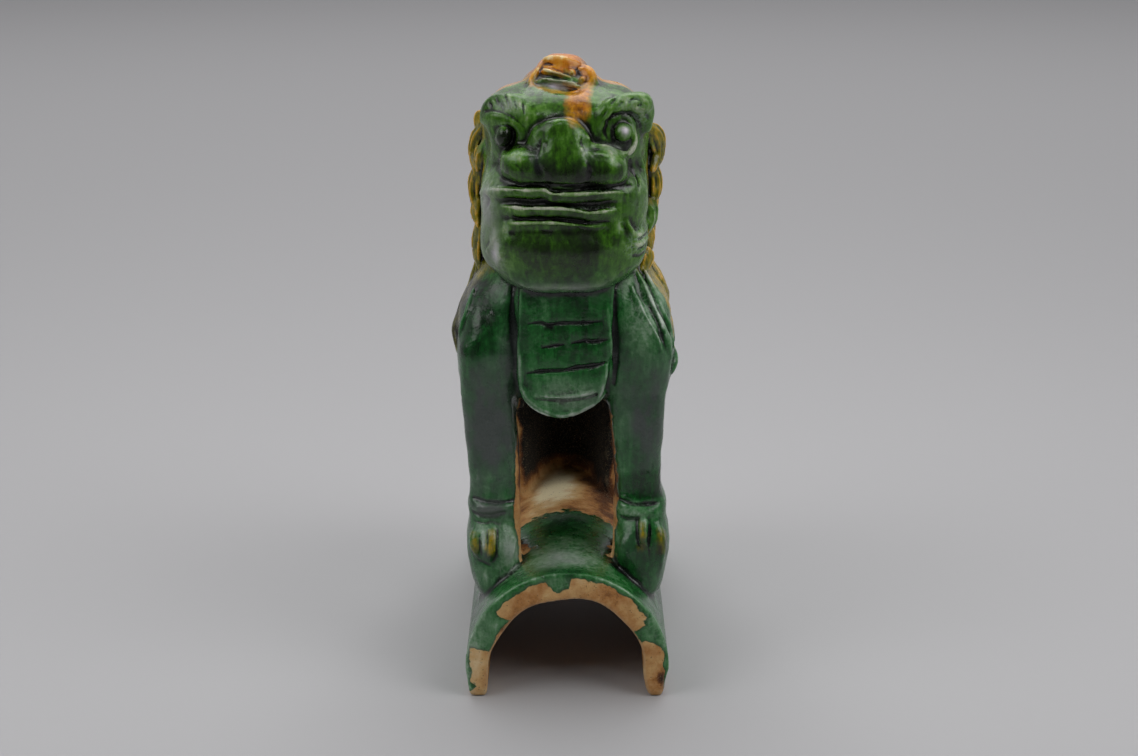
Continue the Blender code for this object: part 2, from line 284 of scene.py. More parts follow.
def left_claws(clay):
    """Two oval claws on the outer half of the paw, with a strip between them, under a double crease."""
    groove(clay, [(-47, 93.4), (-41, 92.6), (-34, 92), (-25.6, 92.4)], 1.1, 0.3, 1.4)
    groove(clay, [(-47.4, 86.4), (-42, 85.2), (-36, 85.4), (-31, 87)], 1.3, 0.2, 1.6)
    ridge(clay, [(-44.5, 88.6), (-39, 89), (-32, 89.2), (-26.8, 89.8)], 1.2, -0.4, 1.2)
    groove(clay, [(-47, 82.4), (-42, 81.6), (-37, 82.2), (-33, 81.4)], 0.6, 0.3, 0.6)
    ridge(clay, [(-44.6, 79.4), (-44.9, 74), (-44.4, 69.5), (-43.4, 65.4)], 3.4, -1.3, 0.8)
    ridge(clay, [(-37.4, 80.2), (-37, 75), (-37.2, 69.5), (-38.2, 64.4)], 3.4, -1.3, 0.8)
    ridge(clay, [(-41.2, 80), (-41.2, 73), (-41.4, 66.6)], 1.1, -0.5, 0.5)
    groove(clay, [(-42.6, 79.6), (-42.9, 73), (-42.2, 65.6)], 0.7, 0.3, 0.5)
    groove(clay, [(-39.6, 79.8), (-39.5, 73), (-40.2, 65)], 0.8, 0.3, 0.5)
    groove(clay, [(-34.4, 79.6), (-34.2, 73), (-35, 66.4), (-37, 62.6)], 0.9, 0.3, 0.5)
    groove(clay, [(-44, 63), (-41, 62.2), (-38.6, 61)], 0.9, 0.2, 1.2)
    ridge(clay, [(-26.2, 74), (-27.2, 68), (-30.4, 62.6)], 1.2, -0.3, 1.4)


def right_claws(clay):
    """A narrow claw in the middle, a long lobe outside it and a round knuckle inside."""
    groove(clay, [(24.6, 92.6), (31, 91.6), (37.4, 91.2), (44.6, 91.4)], 1.3, 0.3, 1.2)
    ridge(clay, [(25.6, 94.6), (28.4, 94.4), (31, 94)], 0.9, 0, 0.8)
    groove(clay, [(26, 84.2), (31, 83.6), (36, 85)], 0.9, 0.2, 1.6)
    ridge(clay, [(33.6, 85.8), (38.6, 87.4), (43.6, 85.6)], 1.3, -0.4, 1.4)
    ridge(clay, [(37.5, 85), (37.4, 80.4), (37.3, 75.8), (37.6, 71.6)], 2.8, -0.7, 0.7)
    ridge(clay, [(43.6, 83), (45.2, 76), (46, 68), (45.6, 58)], 3, -1.6, 1.4)
    groove(clay, [(40.5, 85.4), (40.7, 79.5), (40.4, 72.4), (40.8, 64)], 1, 0.3, 0.8)
    groove(clay, [(34.6, 83), (34.4, 77), (35.2, 70.8), (37.4, 68.6)], 0.8, 0.2, 0.8)
    clay.add(blob((31.2, 25, 67), (6.4, 4.8, 8.4), 2.2), 2.4)


def bib(clay):
    """The plate on the chest: a tongue with a thin raised edge and cut lines tilted up to the right."""
    halves = [(135.5, 3), (137.5, 9), (141, 15), (146, 19.2), (152, 21.2), (162, 22.2)]
    halves += [(185, 22.6), (206, 22.6)]
    tongue = [(z, -1.6 + 0.05 * (z - 170), 36, half, 10.6) for z, half in halves]
    clay.add(limb(tongue, 1.6, 1.6), 0.8)
    edge = [(-23.4, 200), (-23.6, 184), (-22.8, 167), (-22.2, 154), (-20, 147.4), (-14.6, 141.8), (-8, 138.6)]
    edge += [(-2.6, 137.2), (4, 138.9), (14.6, 144), (18.8, 148.8), (20.6, 156), (20.8, 173), (19.6, 186)]
    edge.append((19, 200))
    ridge(clay, edge, 1, -0.1, 0.8)
    groove(clay, [(-26.4, 199), (-26.8, 188), (-26.4, 177), (-25.8, 168)], 1.6, 0.3, 1.2)
    groove(clay, [(22.6, 196), (23.4, 182), (23.8, 168), (23, 152)], 1.2, 0.3, 1.6)
    for line, size in (
        ([(-18.4, 183.2), (-13, 183.6), (-9.3, 182.6), (-3, 183.4), (8, 183.6), (18.6, 184.8)], 1.15),
        ([(-12.1, 171.2), (-6, 172.2), (-1.4, 173)], 1.1),
        ([(2, 173.6), (9, 174.8), (12, 174.2), (20.2, 175.4)], 1.3),
        ([(-19.4, 158.6), (-12, 159.4), (-1.3, 160), (6, 161.4), (13, 162.2), (19.9, 164.2)], 1.35),
    ):
        groove(clay, line, size, 0.25, 0.4)
    hem = [(-15, 147.4), (-4, 146.4), (5, 147.2), (13, 149.2), (19, 152.6)]
    ridge(clay, hem, 1, 0.2, 0.4)
    groove(clay, [(x, z - 2) for x, z in hem], 0.8, 0.2, 0.4)


def way_in():
    """The passage between the forelegs, which narrows between the haunches and ends round."""
    plan = [(-30, 24), (30, 22.8), (62, 24.6), (102, 25.8), (118, 24.4), (130, 20.4), (146, 16.2)]
    line = smooth_line([*plan, (156, 11.5), (161, 7), (164, -4)], 8)
    roof_d, roof_z = (-30, 30, 60, 100, 150), (141.5, 141.5, 146, 140, 118)

    def distance(x, y, z):
        lean = 0.05 * np.clip(z - 90, 0, 60)
        side = np.abs(x + 0.4) - np.interp(y, line[:, 0], line[:, 1]) + lean
        top = z - np.interp(y, roof_d, roof_z)
        return -smooth_min(-(side + 0 * z), -(top + 0 * x), 5)

    return Shape((-30, -20, 30), (30, 165, 150), distance)


def body_dome():
    """The hollow in the body, over the passage."""
    return blob((FACE_X, 96, 124), (29, 50, 46), 2.3)


def side_windows():
    """The gap between foreleg and haunch, right through from side to side."""
    window = blob((0, 104, 62), (400, 23, 66), 3.2)
    return Shape((-62, 74, 30), (62, 126, 128), window.distance)


def hollows(clay):
    """The open way in between the legs, the domed body and the gaps at the sides."""
    clay.cut(way_in(), 1)
    clay.cut(body_dome(), 6)
    clay.cut(side_windows(), 2.5)


# ---------------------------------------------------------------- the tile
def arch(radius, centre_z, foot_taper):
    """Signed distance to a half circle on straight legs that lean in by foot_taper."""

    def distance(x, z):
        ring = np.sqrt(x**2 + (z - centre_z) ** 2) - radius
        leg = np.abs(x) - radius + foot_taper * np.clip((centre_z - z) / centre_z, 0, 2)
        return np.where(z > centre_z, ring, leg)

    return distance


def tile(clay):
    """The half-round tile, its cut ends and feet a little rounded and its channel uneven."""
    outer, inner = arch(TILE_RADIUS, TILE_CENTRE_Z, 2), arch(CHANNEL_RADIUS, CHANNEL_CENTRE_Z, -2.2)

    def body(x, y, z):
        ends = np.abs(y - LENGTH / 2) - LENGTH / 2
        shell = -smooth_min(-(outer(x, z) + 0 * y), -(ends + 0 * x + 0 * z), 1.6)
        return -smooth_min(-shell, z + 0 * shell, 3)

    def channel(x, y, z):
        turn = np.arctan2(z - CHANNEL_CENTRE_Z, x)
        facets = 0.55 * np.cos(7 * turn + 0.8) + 0.35 * np.cos(3 * turn + 0.02 * y)
        return inner(x, z) + facets * (z > 0) + 0 * y

    clay.add(Shape((-50, 0, 0), (50, LENGTH, 65), body), 2.4)
    for x, z, across, up in ((55.5, -4, 9, 22), (34.6, -5, 7.6, 9), (-35.4, -6, 6.4, 9)):
        clay.cut(blob((x, -1, z), (across, 12, up), 2), 1.4)
    clay.cut(Shape((-42, -4, -6), (42, LENGTH + 4, 53), channel), 1.2)


# ---------------------------------------------------------------- the head
def skull_and_jaw(clay):
    """The block of the head: flat sides, a low sloping forehead, a heavy muzzle and a shovel of a jaw."""
    clay.add(blob((FACE_X, 58, 256), (40, 36, 36), 2.9), 5)
    clay.add(blob((FACE_X, 53, 275), (38.5, 34, 21.5), 2.9), 5)
    clay.add(blob((FACE_X, 38, 282), (38, 20, 12.5), 2.7, (14, 0, 0)), 4)
    clay.add(blob((FACE_X, 36, 271), (35.5, 17, 14), 2.8), 4)
    clay.add(blob((-1.3, 38, 243), (40, 25, 20), 2.8), 4)
    clay.add(blob((-1.6, 39, 224), (40.2, 27, 21), 2.7, (16, 0, 0)), 4)
    clay.add(blob((-2, 33, 214), (31, 19.5, 15), 2.6, (10, 0, 0)), 4)


def cheeks(clay):
    """The upper muzzle: one broad shelf over the mouth, with a lobe at each side of the nose."""
    clay.add(blob((-1.5, 28, 261), (29.5, 21.5, 9.5), 3.2), 2.5)
    clay.add(blob((-20.5, 18, 262.5), (10, 11.5, 7.6), 2.6, (0, 8, 0)), 3)
    clay.add(blob((17.5, 18, 260.5), (10.5, 11.5, 7.6), 2.6, (0, 6, 0)), 3)
    clay.cut(blob((-44.5, 32, 268), (7.5, 17, 8), 2.2), 4)


def nose(clay):
    """A broad nose under an arched bridge, with a hollow at its left and a pinched nostril at its right."""
    clay.add(blob((-1.8, 23.4, 265), (11.6, 17.2, 16), 3, (-5, 0, 0)), 5)
    bridge = [(-15.6, 17.6, 269.4), (-14.4, 16.2, 273.6), (-11.8, 14.8, 277), (-8, 13.8, 279.4)]
    bridge += [(-3.6, 13.2, 280.4), (0.8, 13.4, 279.6), (4.4, 13.8, 277.6), (7, 14.2, 274.4)]
    bridge.append((8.6, 14.8, 270.8))
    clay.add(coil(bridge, [2.4, 3, 3.2, 3.4, 3.6, 3.4, 3.1, 2.6, 1.8]), 3.4)
    clay.cut(blob((-12.6, 8.6, 272), (1.8, 3, 3.6), 2.2, (0, 20, 0)), 3)
    clay.cut(coil([(-13.8, 5.6, 267.4), (-14, 5.4, 263.5), (-13.4, 5.6, 258.5)], [0.8, 1.3, 0.5]), 4.5)
    ridge(clay, [(-6.2, 280.6), (-8.9, 277.2), (-10.4, 273.2), (-11.4, 268), (-11.6, 263.6)], 1.1, -0.1, 1.6)
    groove(clay, [(7.6, 277.2), (6.6, 274), (7.6, 270.6), (9.4, 268.8)], 0.9, 0.4, 0.5)
    lumps = ((6, 269.6, 1.7), (10.2, 267.2, 1.5), (8.2, 263.4, 1.9), (9.3, 274.6, 1.3), (11, 258.6, 1.2))
    for x, z, size in lumps:
        clay.add(blob(clay.front(x, z, -0.5 * size), (size, size, 1.2 * size)), 0.9)
    groove(clay, [(9.6, 264.6), (10.4, 260), (9.4, 255.6)], 0.8, 0.1, 1.6)


def eyes(clay):
    """A tall almond eye under a hood on the left, and a round one over a turned-up lower lid on the right."""
    clay.cut(blob((-28.6, 14.5, 274), (5.4, 10.4, 6.6), 2.3, (0, 20, 0)), 1.8)
    clay.add(blob((-29.4, 24, 274.6), (3.9, 5.6, 5.6), 2, (0, 14, 0)), 0.5)
    clay.cut(coil([(-24, 18, 276.5), (-22, 16, 272.6), (-22.6, 16, 270)], [0.8, 1.2, 0.7]), 1)
    clay.cut(coil([(-34.7, 22, 276), (-34.1, 21.5, 271), (-31.8, 19, 267)], [0.6, 0.9, 0.6]), 1)

    clay.cut(blob((25.2, 13.2, 275.6), (6.6, 8, 6.4), 2.3, (0, -10, 0)), 2)
    clay.add(blob((26, 20.6, 276.3), (4.1, 5.2, 4.3)), 0.5)
    lid = [(12.1, 15.2, 271.2), (17.9, 16.2, 270), (23.7, 17, 267.4), (28.6, 18.2, 267), (31.4, 20.6, 271)]
    lid += [(31, 22.8, 277.4), (28.4, 23.4, 283)]
    clay.add(coil(lid, [0.9, 1.4, 1.5, 1.5, 1.4, 1.2, 0.7]), 2)
    groove(clay, [(18.4, 281), (17.4, 277.2), (18.8, 273.6)], 0.9)


def nicks(clay, strokes, proud):
    """Short cuts from start to end (x, z) on the front surface, widest at their middles."""
    for start, end in strokes:
        middle = tuple(np.mean([start, end], axis=0))
        groove(clay, [start, middle, end], 1, proud, 0.45)


def left_brow(clay):
    """A low roll cut with short strokes, over a smooth hood."""
    roll = [(-38, 283.6), (-34.5, 287.6), (-29, 289), (-23, 288), (-18.6, 283.4)]
    clay.add(coil([clay.front(x, z, -2.2) for x, z in roll], [3, 4.2, 4.6, 4.4, 2.6]), 3)
    hood = [(-38.6, 280.4), (-34.5, 282.4), (-29, 282.6), (-24.4, 280), (-20.6, 274.6)]
    clay.add(coil([clay.front(x, z, -2.6) for x, z in hood], [2.6, 3.6, 3.9, 3.4, 1.8]), 2)
    groove(clay, [(-38.6, 284.8), (-34, 286), (-29, 285.4), (-24.6, 283), (-20.4, 279)], 0.8, 0.4, 0.8)
    nicks(clay, (
        ((-33.8, 292), (-31.4, 287.2)), ((-29, 293.4), (-26.4, 286.9)), ((-25.2, 292.6), (-22.6, 285.4)),
        ((-20.6, 290.8), (-19.8, 284.4)), ((-36.8, 289.6), (-34.8, 286.4)), ((-31.6, 291), (-29.6, 286.6)),
    ), 0.35)


def right_brow(clay):
    """A thicker roll that ends in a curled knob."""
    roll = [(13.4, 19.5, 278.4), (16.4, 20, 283.6), (21, 22, 288), (27.6, 24.5, 289.6), (32.4, 27, 288.6)]
    roll += [(36.2, 29.5, 284.6), (36.8, 31.5, 277.5)]
    clay.add(coil(roll, [1.6, 3.2, 4.2, 4.6, 5, 4.8, 3.4]), 2.4)
    clay.add(blob((33.8, 27, 289), (6, 7, 5), 2.3), 1.8)
    nicks(clay, (
        ((23.4, 293.2), (18.6, 289)), ((19, 288.4), (15.4, 282.6)), ((27, 292.4), (23.2, 287.6)),
        ((28.4, 287), (34.8, 281.4)), ((36.6, 285), (38.4, 280.6)), ((22, 286.6), (18.4, 280.8)),
    ), 0.3)
    curl = [(29.2, 288.4), (28.9, 291), (31.6, 292.2), (34.6, 290.8), (33.6, 288.8), (31.8, 289.8)]
    groove(clay, curl, 0.85, 0.2, 0.45)
    groove(clay, [(16.8, 280.6), (20.6, 284), (25.8, 285.6), (31, 283.4), (34.4, 278)], 0.9, 0.2, 0.8)


def lips(clay):
    """Three shelves across the mouth, each a thin edge over a face that falls back to a dark gap."""
    under = [(-31, 254.4), (-24, 253.8), (-14, 253.6), (-4, 253.5), (10, 253.4), (22, 252.8), (30, 251.4)]
    groove(clay, under, 1.7, 0.4, 1)
    lip1 = [(-39, 25, 248), (-35, 18.5, 249.6), (-28.6, 13, 250.8), (-18, 9.2, 251.2), (-10.6, 8, 251.6)]
    lip1 += [(-6.6, 7.4, 249.8), (5.2, 7.6, 249.6), (15, 9.8, 249.8), (24, 14.5, 249.2), (31.2, 20.8, 245.8)]
    lip1 += [(33.4, 24.6, 240.4), (32, 25, 236.6), (28.6, 23.6, 234.8)]
    lip2 = [(-30.6, 16.2, 242.2), (-25, 12.4, 242.6), (-20.4, 11, 242.2), (-10, 9.6, 242.6), (-2.8, 9, 242.6)]
    lip2 += [(5.5, 9.6, 241.2), (10.5, 10.6, 240.2), (18, 12.6, 240.6), (25, 16.9, 240), (29.6, 22, 236.4)]
    lip3 = [(-30.2, 17.6, 234), (-24, 13.4, 234.8), (-14, 11.4, 235.4), (-5.4, 10.6, 235.4), (4, 11.2, 234.4)]
    lip3 += [(13.3, 12.8, 233.4), (20, 15.2, 233.8), (26, 19.8, 232.4)]
    for shelf in (lip1, lip2, lip3):
        clay.add(coil([(x, d + 3.2, z - 1.7) for x, d, z in shelf], 2.6), 1.4)
        clay.add(coil([(x, d + 0.3, z) for x, d, z in shelf], [0.5] + [0.85] * (len(shelf) - 2) + [0.5]), 0.7)
    for shelf, size in ((lip1[1:-4], 1.5), (lip2[:-2], 1.3)):
        gap = [(x, d + 0.2, z - 4.9) for x, d, z in shelf]
        clay.cut(coil(gap, [0.5] + [size] * (len(gap) - 2) + [0.5]), 0.8)
    groove(clay, [(-39, 246.4), (-36.8, 243.8), (-38.2, 240)], 1, 0, 0.8)


def chin(clay):
    """A smooth round chin with folds of skin at the corners of the mouth."""
    clay.add(blob((-3, 28.5, 222), (27, 19, 14), 2.6, (12, 0, 0)), 3)
    for line, size in (
        ([(-29.6, 232), (-34, 227), (-38.6, 221.5)], 0.8),
        ([(31.4, 227), (34.4, 225.4), (38.4, 226)], 0.8),
        ([(30.8, 222.4), (34.2, 221), (38.2, 222)], 0.8),
        ([(31.5, 218), (34.4, 216.8), (37.2, 218)], 0.6),
    ):
        groove(clay, line, size, 0.1, 1.4)
    hem = [(-27, 207.2), (-20, 204.4), (-12, 203.4), (-6, 203.8)]
    hem += [(1, 202.8), (8, 203.8), (15, 204.4), (22, 207.6)]
    ridge(clay, hem, 1.3, -0.5, 1.2)
    for line in (
        [(-31, 230.6), (-34.6, 224.6), (-37.6, 218.6)], [(-28.4, 226.6), (-30.6, 219.6), (-32.8, 213.6)],
        [(30, 229.4), (34, 227.6), (38.6, 228.8)], [(30.4, 224.8), (34, 223), (38.4, 224)],
        [(27.6, 235.5), (30.4, 229.5), (32.2, 221)], [(-25.4, 236.4), (-29.4, 230), (-33.4, 220)],
    ):
        ridge(clay, line, 1.4, 0.1, 1.6)
    groove(clay, [(29.6, 262), (31.8, 256), (33.6, 248.6)], 1.1, 0, 1.6)
    ridge(clay, [(33, 267), (35.4, 257), (36.6, 247)], 1.5, -0.5, 2)


def crest(clay):
    """A topknot like an open shell: a thin rim below, a roll at its right, two leaves and a folded top."""
    clay.add(blob((-2.4, 51, 294), (18.4, 17, 9), 2.3, (10, 0, 0)), 3)
    clay.add(blob((-2.2, 52, 301.5), (12, 11, 7.2), 2.2, (8, 0, 0)), 3.5)
    clay.cut(blob((-4, 31, 298), (11.4, 8.4, 4.4), 2.3, (0, 12, 0)), 2)
    low_rim = [(-13.6, 43.6, 303), (-16, 41.6, 299.4), (-17, 38.8, 296.4), (-15.6, 34.6, 294.4)]
    low_rim += [(-7, 33.4, 292.8), (1, 33, 292.2)]
    clay.add(coil(low_rim, [1, 1.4, 1.5, 1.3, 1.1, 1.1]), 1.6)
    roll = [(5.6, 46.5, 304), (9.4, 44.2, 301.8), (11.4, 41.4, 298.6), (11.4, 38.2, 295)]
    roll += [(8.6, 35.6, 293), (3.6, 33.8, 292.4)]
    clay.add(coil(roll, [1.4, 2.6, 3, 3, 2.6, 1.4]), 1.6)
    clay.add(blob((8.6, 45, 299), (3.6, 4.6, 4.6)), 2)
    for leaf in (
        [(-12, 301.6), (-8.5, 301.4), (-4.4, 300.6), (1.6, 298.8)],
        [(-14.2, 297.6), (-9, 297.8), (-1, 296.8), (6.4, 295.6)],
    ):
        ridge(clay, leaf, 1.5, 0.7, 0.4)
        ridge(clay, [(x, z + 1.1) for x, z in leaf], 0.6, 1.3, 0.3)
    for x, z, size in ((2.4, 301.3, 1.7), (7.2, 298.2, 1.7), (6.4, 303, 1.3)):
        clay.add(blob(clay.front(x, z, -0.2), (size, size, size)), 0.6)
    fold = [(-10.4, 47.4, 306.6), (-6.8, 45.6, 307), (-1.6, 45, 306.4), (3.4, 45.6, 305), (6.2, 47, 303.8)]
    clay.add(coil(fold, [1.4, 2.2, 2.4, 2.2, 1.4]), 1.6)
    groove(clay, [(-11.6, 304.9), (-8.8, 305), (-5.8, 304.2)], 1, 0.1, 0.5)
    groove(clay, [(-15.4, 303.4), (-12.8, 302.2), (-11.6, 303.8)], 0.7, 0.1, 0.6)


# ---------------------------------------------------------------- the mane and tail
MANE_AXIS = (FACE_X, 66)
TAIL_AXIS = (FACE_X, 150)


def lock(clay, path, width, strands=3, thickness=2.6, axis=MANE_AXIS):
    """A flame of hair on a full bed: strands laid side by side along the path, drawn together to a tip."""
    line = smooth_line(path, 4)
    along = np.gradient(line, axis=0)
    outward = line - np.column_stack([np.full(len(line), axis[0]), np.full(len(line), axis[1]), line[:, 2]])
    outward /= np.linalg.norm(outward, axis=1)[:, None]
    side = np.cross(along, outward)
    side /= np.linalg.norm(side, axis=1)[:, None]
    t = np.linspace(0, 1, len(line))
    swell = 0.3 + 0.7 * np.sin(math.pi * np.clip(t, 0, 1) ** 0.8)
    bed = np.maximum(0.46 * width * swell, 0.6)
    clay.add(coil(line - outward * (bed - 0.45 * thickness)[:, None], list(bed), 1), 1.2)
    for offset in np.linspace(-0.5, 0.5, strands):
        apart = offset * 0.8 * width * swell
        points = line + side * apart[:, None] - outward * (abs(offset) * width * 0.25)
        radii = np.maximum(0.5 * thickness * (1.1 - 0.4 * abs(offset)) * swell, 0.4)
        clay.add(coil(points + outward * 0.35 * thickness, list(radii), 1), 0.35)


def on_head(clay, bearing, z, proud):
    """A point on the mane's ground: bearing 0 at the lion's front, 90 on the viewer's right, 180 behind."""
    angle = math.radians(bearing)
    way = np.array((math.sin(angle), -math.cos(angle), 0))
    far = np.array((*MANE_AXIS, z)) + 90.0 * way
    x, d, z = clay.hit(far, -way)
    return (x + way[0] * proud, d + way[1] * proud, z)


# rows of locks from the top down: height, bearing of the first lock, number of locks, how far they hang
MANE_ROWS = ((289, 118, 6, 26), (269, 104, 7, 25), (248, 106, 7, 25), (227, 104, 7, 24), (206, 106, 6, 26))
MANE_LOCK_WIDTH = 10.2


def mane(clay):
    """Rows of flame locks round the back of the head, and long ones that run down to the shoulders."""
    clay.add(blob((FACE_X, 74, 240), (43.5, 37, 52), 2.7), 4)
    paths = []
    for z, first, count, drop in MANE_ROWS:
        for i in range(count):
            bearing = first + (360 - 2 * first) * i / (count - 1)
            lean = 5.0 * math.sin(2.4 * i + z)
            turns = ((-3, 0, 0.2), (lean, 0.38, 1.6), (1.5 * lean, 0.75, 1.2), (3 + 2 * lean, 1, 0.2))
            path = [on_head(clay, bearing + turn, z - part * drop, proud) for turn, part, proud in turns]
            paths.append(path)
    for path in paths:
        lock(clay, path, MANE_LOCK_WIDTH)
    side_locks(clay)


def side_locks(clay):
    """The leaf-shaped locks seen beside the face, each its own size, turned a little to the front."""
    for path, width, strands, thickness in (
        ([(-40, 56, 281), (-43, 58, 276), (-42.4, 57, 270)], 6, 2, 2.4),
        ([(-39.5, 53, 275), (-44.2, 56, 268.5), (-46.2, 57, 260.5), (-44.4, 53, 252.6)], 8, 3, 2.2),
        ([(-37.4, 45, 271), (-40.8, 47.5, 265.5), (-42.6, 49, 259.5), (-43.4, 49.5, 253.4)], 8, 3, 2),
        ([(-41.6, 51, 255), (-45.6, 56, 247), (-45.6, 56, 239), (-43.8, 52, 231.6)], 9, 3, 2.2),
        ([(-42.6, 53, 238), (-45.2, 54.5, 232.5), (-43.2, 49.5, 225.4)], 6, 2, 2),
        ([(-42.4, 57, 228), (-44.6, 60, 218), (-44.8, 60, 209), (-43, 60, 202)], 7, 2, 2.4),
        ([(39.2, 47, 275.4), (43.6, 52, 269), (45, 54, 261), (41.8, 48, 253.8)], 12, 4, 2.2),
        ([(40.8, 52, 257), (43.8, 55, 248.5), (43.4, 54, 241.5), (41.2, 52, 236)], 9, 3, 2.2),
        ([(37.4, 47, 238.4), (40.8, 49, 234.6), (41.2, 49, 229.4), (38, 46, 222.6)], 12, 3, 2),
        ([(39.6, 59, 226), (41, 60, 217), (40.6, 58, 209)], 7, 2, 2.4),
        ([(39.6, 53, 214), (39.9, 51.8, 209), (35.8, 46, 201.6)], 8, 2, 2.2),
    ):
        lock(clay, path, width, strands, thickness, (FACE_X, 88))


def shoulder_locks(clay):
    """Long wavy strands that leave the neck and lie over the shoulders, the right ones ending in a scroll."""
    for points, radii in (
        ([(-43, 66, 208), (-44, 64, 196), (-48.6, 62, 186), (-52, 58, 178), (-52.6, 52, 168)],
         [2, 2.6, 2.8, 3, 1.6]),
        ([(-40, 58, 206), (-41.6, 57, 196), (-45.6, 55, 187), (-49.6, 51, 178)], [1.8, 2.4, 2.6, 1.4]),
        ([(-44, 74, 204), (-48, 72, 190), (-52.4, 66, 180), (-54.2, 58, 171), (-52.6, 50, 162)],
         [2, 2.6, 2.8, 3.2, 2]),
        ([(39, 64, 204), (43.4, 64, 192), (47.8, 62, 180), (50.6, 58, 171), (51.2, 53, 163)],
         [2, 2.4, 2.6, 2.4, 1.6]),
        ([(40, 72, 200), (45.4, 72, 186), (49.8, 68, 176), (52, 60, 166)], [2, 2.6, 2.8, 2]),
    ):
        clay.add(coil(points, radii), 0.8)
    for line, size in (
        ([(33.6, 205), (36.6, 198), (40.6, 190), (45, 181), (48.6, 172), (50.4, 164)], 2),
        ([(37.8, 205), (41.4, 196), (45.6, 187), (49, 178), (51.2, 169)], 1.8),
        ([(31, 199), (33.6, 192), (37.6, 184), (42.4, 176), (46.4, 168)], 1.8),
        ([(-45.6, 196), (-47.6, 188), (-50.2, 181), (-52.4, 173)], 1.6),
    ):
        ridge(clay, line, size, 0.1, 0.6)
    groove(clay, [(35.6, 200), (39.4, 191), (43.6, 182.4), (47.4, 174)], 1.1, 0.3, 0.5)
    groove(clay, [(32.4, 195), (36, 187), (40.4, 179.6), (44.6, 172)], 1.1, 0.3, 0.5)
    curl = [(51.6, 50, 165), (52.4, 44, 160), (50.6, 41, 155.6), (47.6, 40.5, 155.4), (46.8, 40.5, 158.6)]
    curl.append((48.8, 41, 160.4))
    clay.add(coil(curl, [1.8, 2.3, 2.2, 2, 1.7, 1.2]), 0.6)


def tail(clay):
    """A bushy flame tail laid up the rump: a tall middle lock between three pairs that bend outward."""
    clay.add(blob((FACE_X, 194, 102), (21, 11, 34), 2.2, (-5, 0, 0)), 5)
    for pair in (2, 1, 0):
        low, near = 78 + 17 * pair, 205 - 2 * pair
        for side in (1, -1):
            reach = 18 - 2 * pair
            path = [(3, near, low), (reach - 3, near - 2, low + 12), (reach, near - 5, low + 30)]
            lock(clay, [(FACE_X + side * x, d, z) for x, d, z in path], 13, 3, 4.4, TAIL_AXIS)
    middle = [(0, 202, 76), (0, 206, 98), (0, 205, 122), (0, 201, 138), (1, 193, 154)]
    lock(clay, [(FACE_X + x, d, z) for x, d, z in middle], 14, 3, 4.6, TAIL_AXIS)


# ---------------------------------------------------------------- from clay to mesh
def unevenness(clay):
    """Slow swells and dents of about half a millimetre, as hands and a worn mould leave them."""
    x, y, z = (lying_along(axis, i) for i, axis in enumerate(clay.axes))
    wave = np.sin(0.21 * x + 0.05 * z + 1) * np.sin(0.17 * y - 0.09 * x + 0.4) * np.sin(0.19 * z + 0.08 * y)
    wave = wave + 0.5 * np.sin(0.47 * x - 0.31 * y) * np.sin(0.43 * z + 0.2 * x + 2)
    clay.field += 0.32 * wave


def sculpt():
    """The whole lion on its tile, built up in the order that a modeller would."""
    margin = 4.0
    clay = Clay(LOW - margin - (0, FRONT_Y, 0), HIGH + margin - (0, FRONT_Y, 0))
    for step in (
        trunk, haunches, skull_and_jaw, mane, forelegs, shoulder_locks, cheeks, nose, left_brow, right_brow,
        eyes, chin, lips, crest, tail, hollows, bib, unevenness, tile,
    ):
        step(clay)
    return clay


def drop_specks(mesh):
    """Only the largest connected body stays: the grains that deep grooves pinch off inside go."""
    cage = bmesh.new()
    cage.from_mesh(mesh)
    unseen = set(cage.verts)
    bodies = []
    while unseen:
        front = {unseen.pop()}
        body = set(front)
        while front:
            front = {edge.other_vert(vert) for vert in front for edge in vert.link_edges} - body
            body |= front
        unseen -= body
        bodies.append(body)
    bodies.sort(key=len)
    grains = [vert for body in bodies[:-1] for vert in body]
    bmesh.ops.delete(cage, geom=grains, context="VERTS")
    cage.to_mesh(mesh)
    cage.free()


def placed(name, data):
    """A new object in the scene."""
    thing = bpy.data.objects.new(name, data)
    bpy.context.scene.collection.objects.link(thing)
    return thing


def mesh_of(clay, name):
    """One closed mesh of the surface, in the frame's metres and place, with larger faces where it is flat."""
    grid = vdb.FloatGrid(FAR)
    grid.copyFromArray(clay.field)
    points, triangles, quads = grid.convertToPolygons(isovalue=0, adaptivity=FLAT_ENOUGH)
    start = np.array([axis[0] for axis in clay.axes]) + (0, FRONT_Y, 0)
    mesh = bpy.data.meshes.new(name)
    mesh.from_pydata((points * VOXEL + start) * MM, [], triangles.tolist() + quads.tolist())
    mesh.validate()
    drop_specks(mesh)
    mesh.shade_smooth()
    return placed(name, mesh)


# ---------------------------------------------------------------- what the glaze is painted by
def blurred(field, reach):
    """The mean of a field over a cube that reaches so many voxels each way."""
    for axis in range(3):
        count = field.shape[axis]
        total = np.insert(np.cumsum(field, axis=axis, dtype=np.float32), 0, 0, axis=axis)
        high = np.minimum(np.arange(count) + reach + 1, count)
        low = np.maximum(np.arange(count) - reach, 0)
        field = (np.take(total, high, axis) - np.take(total, low, axis)) / lying_along(high - low, axis)
    return field


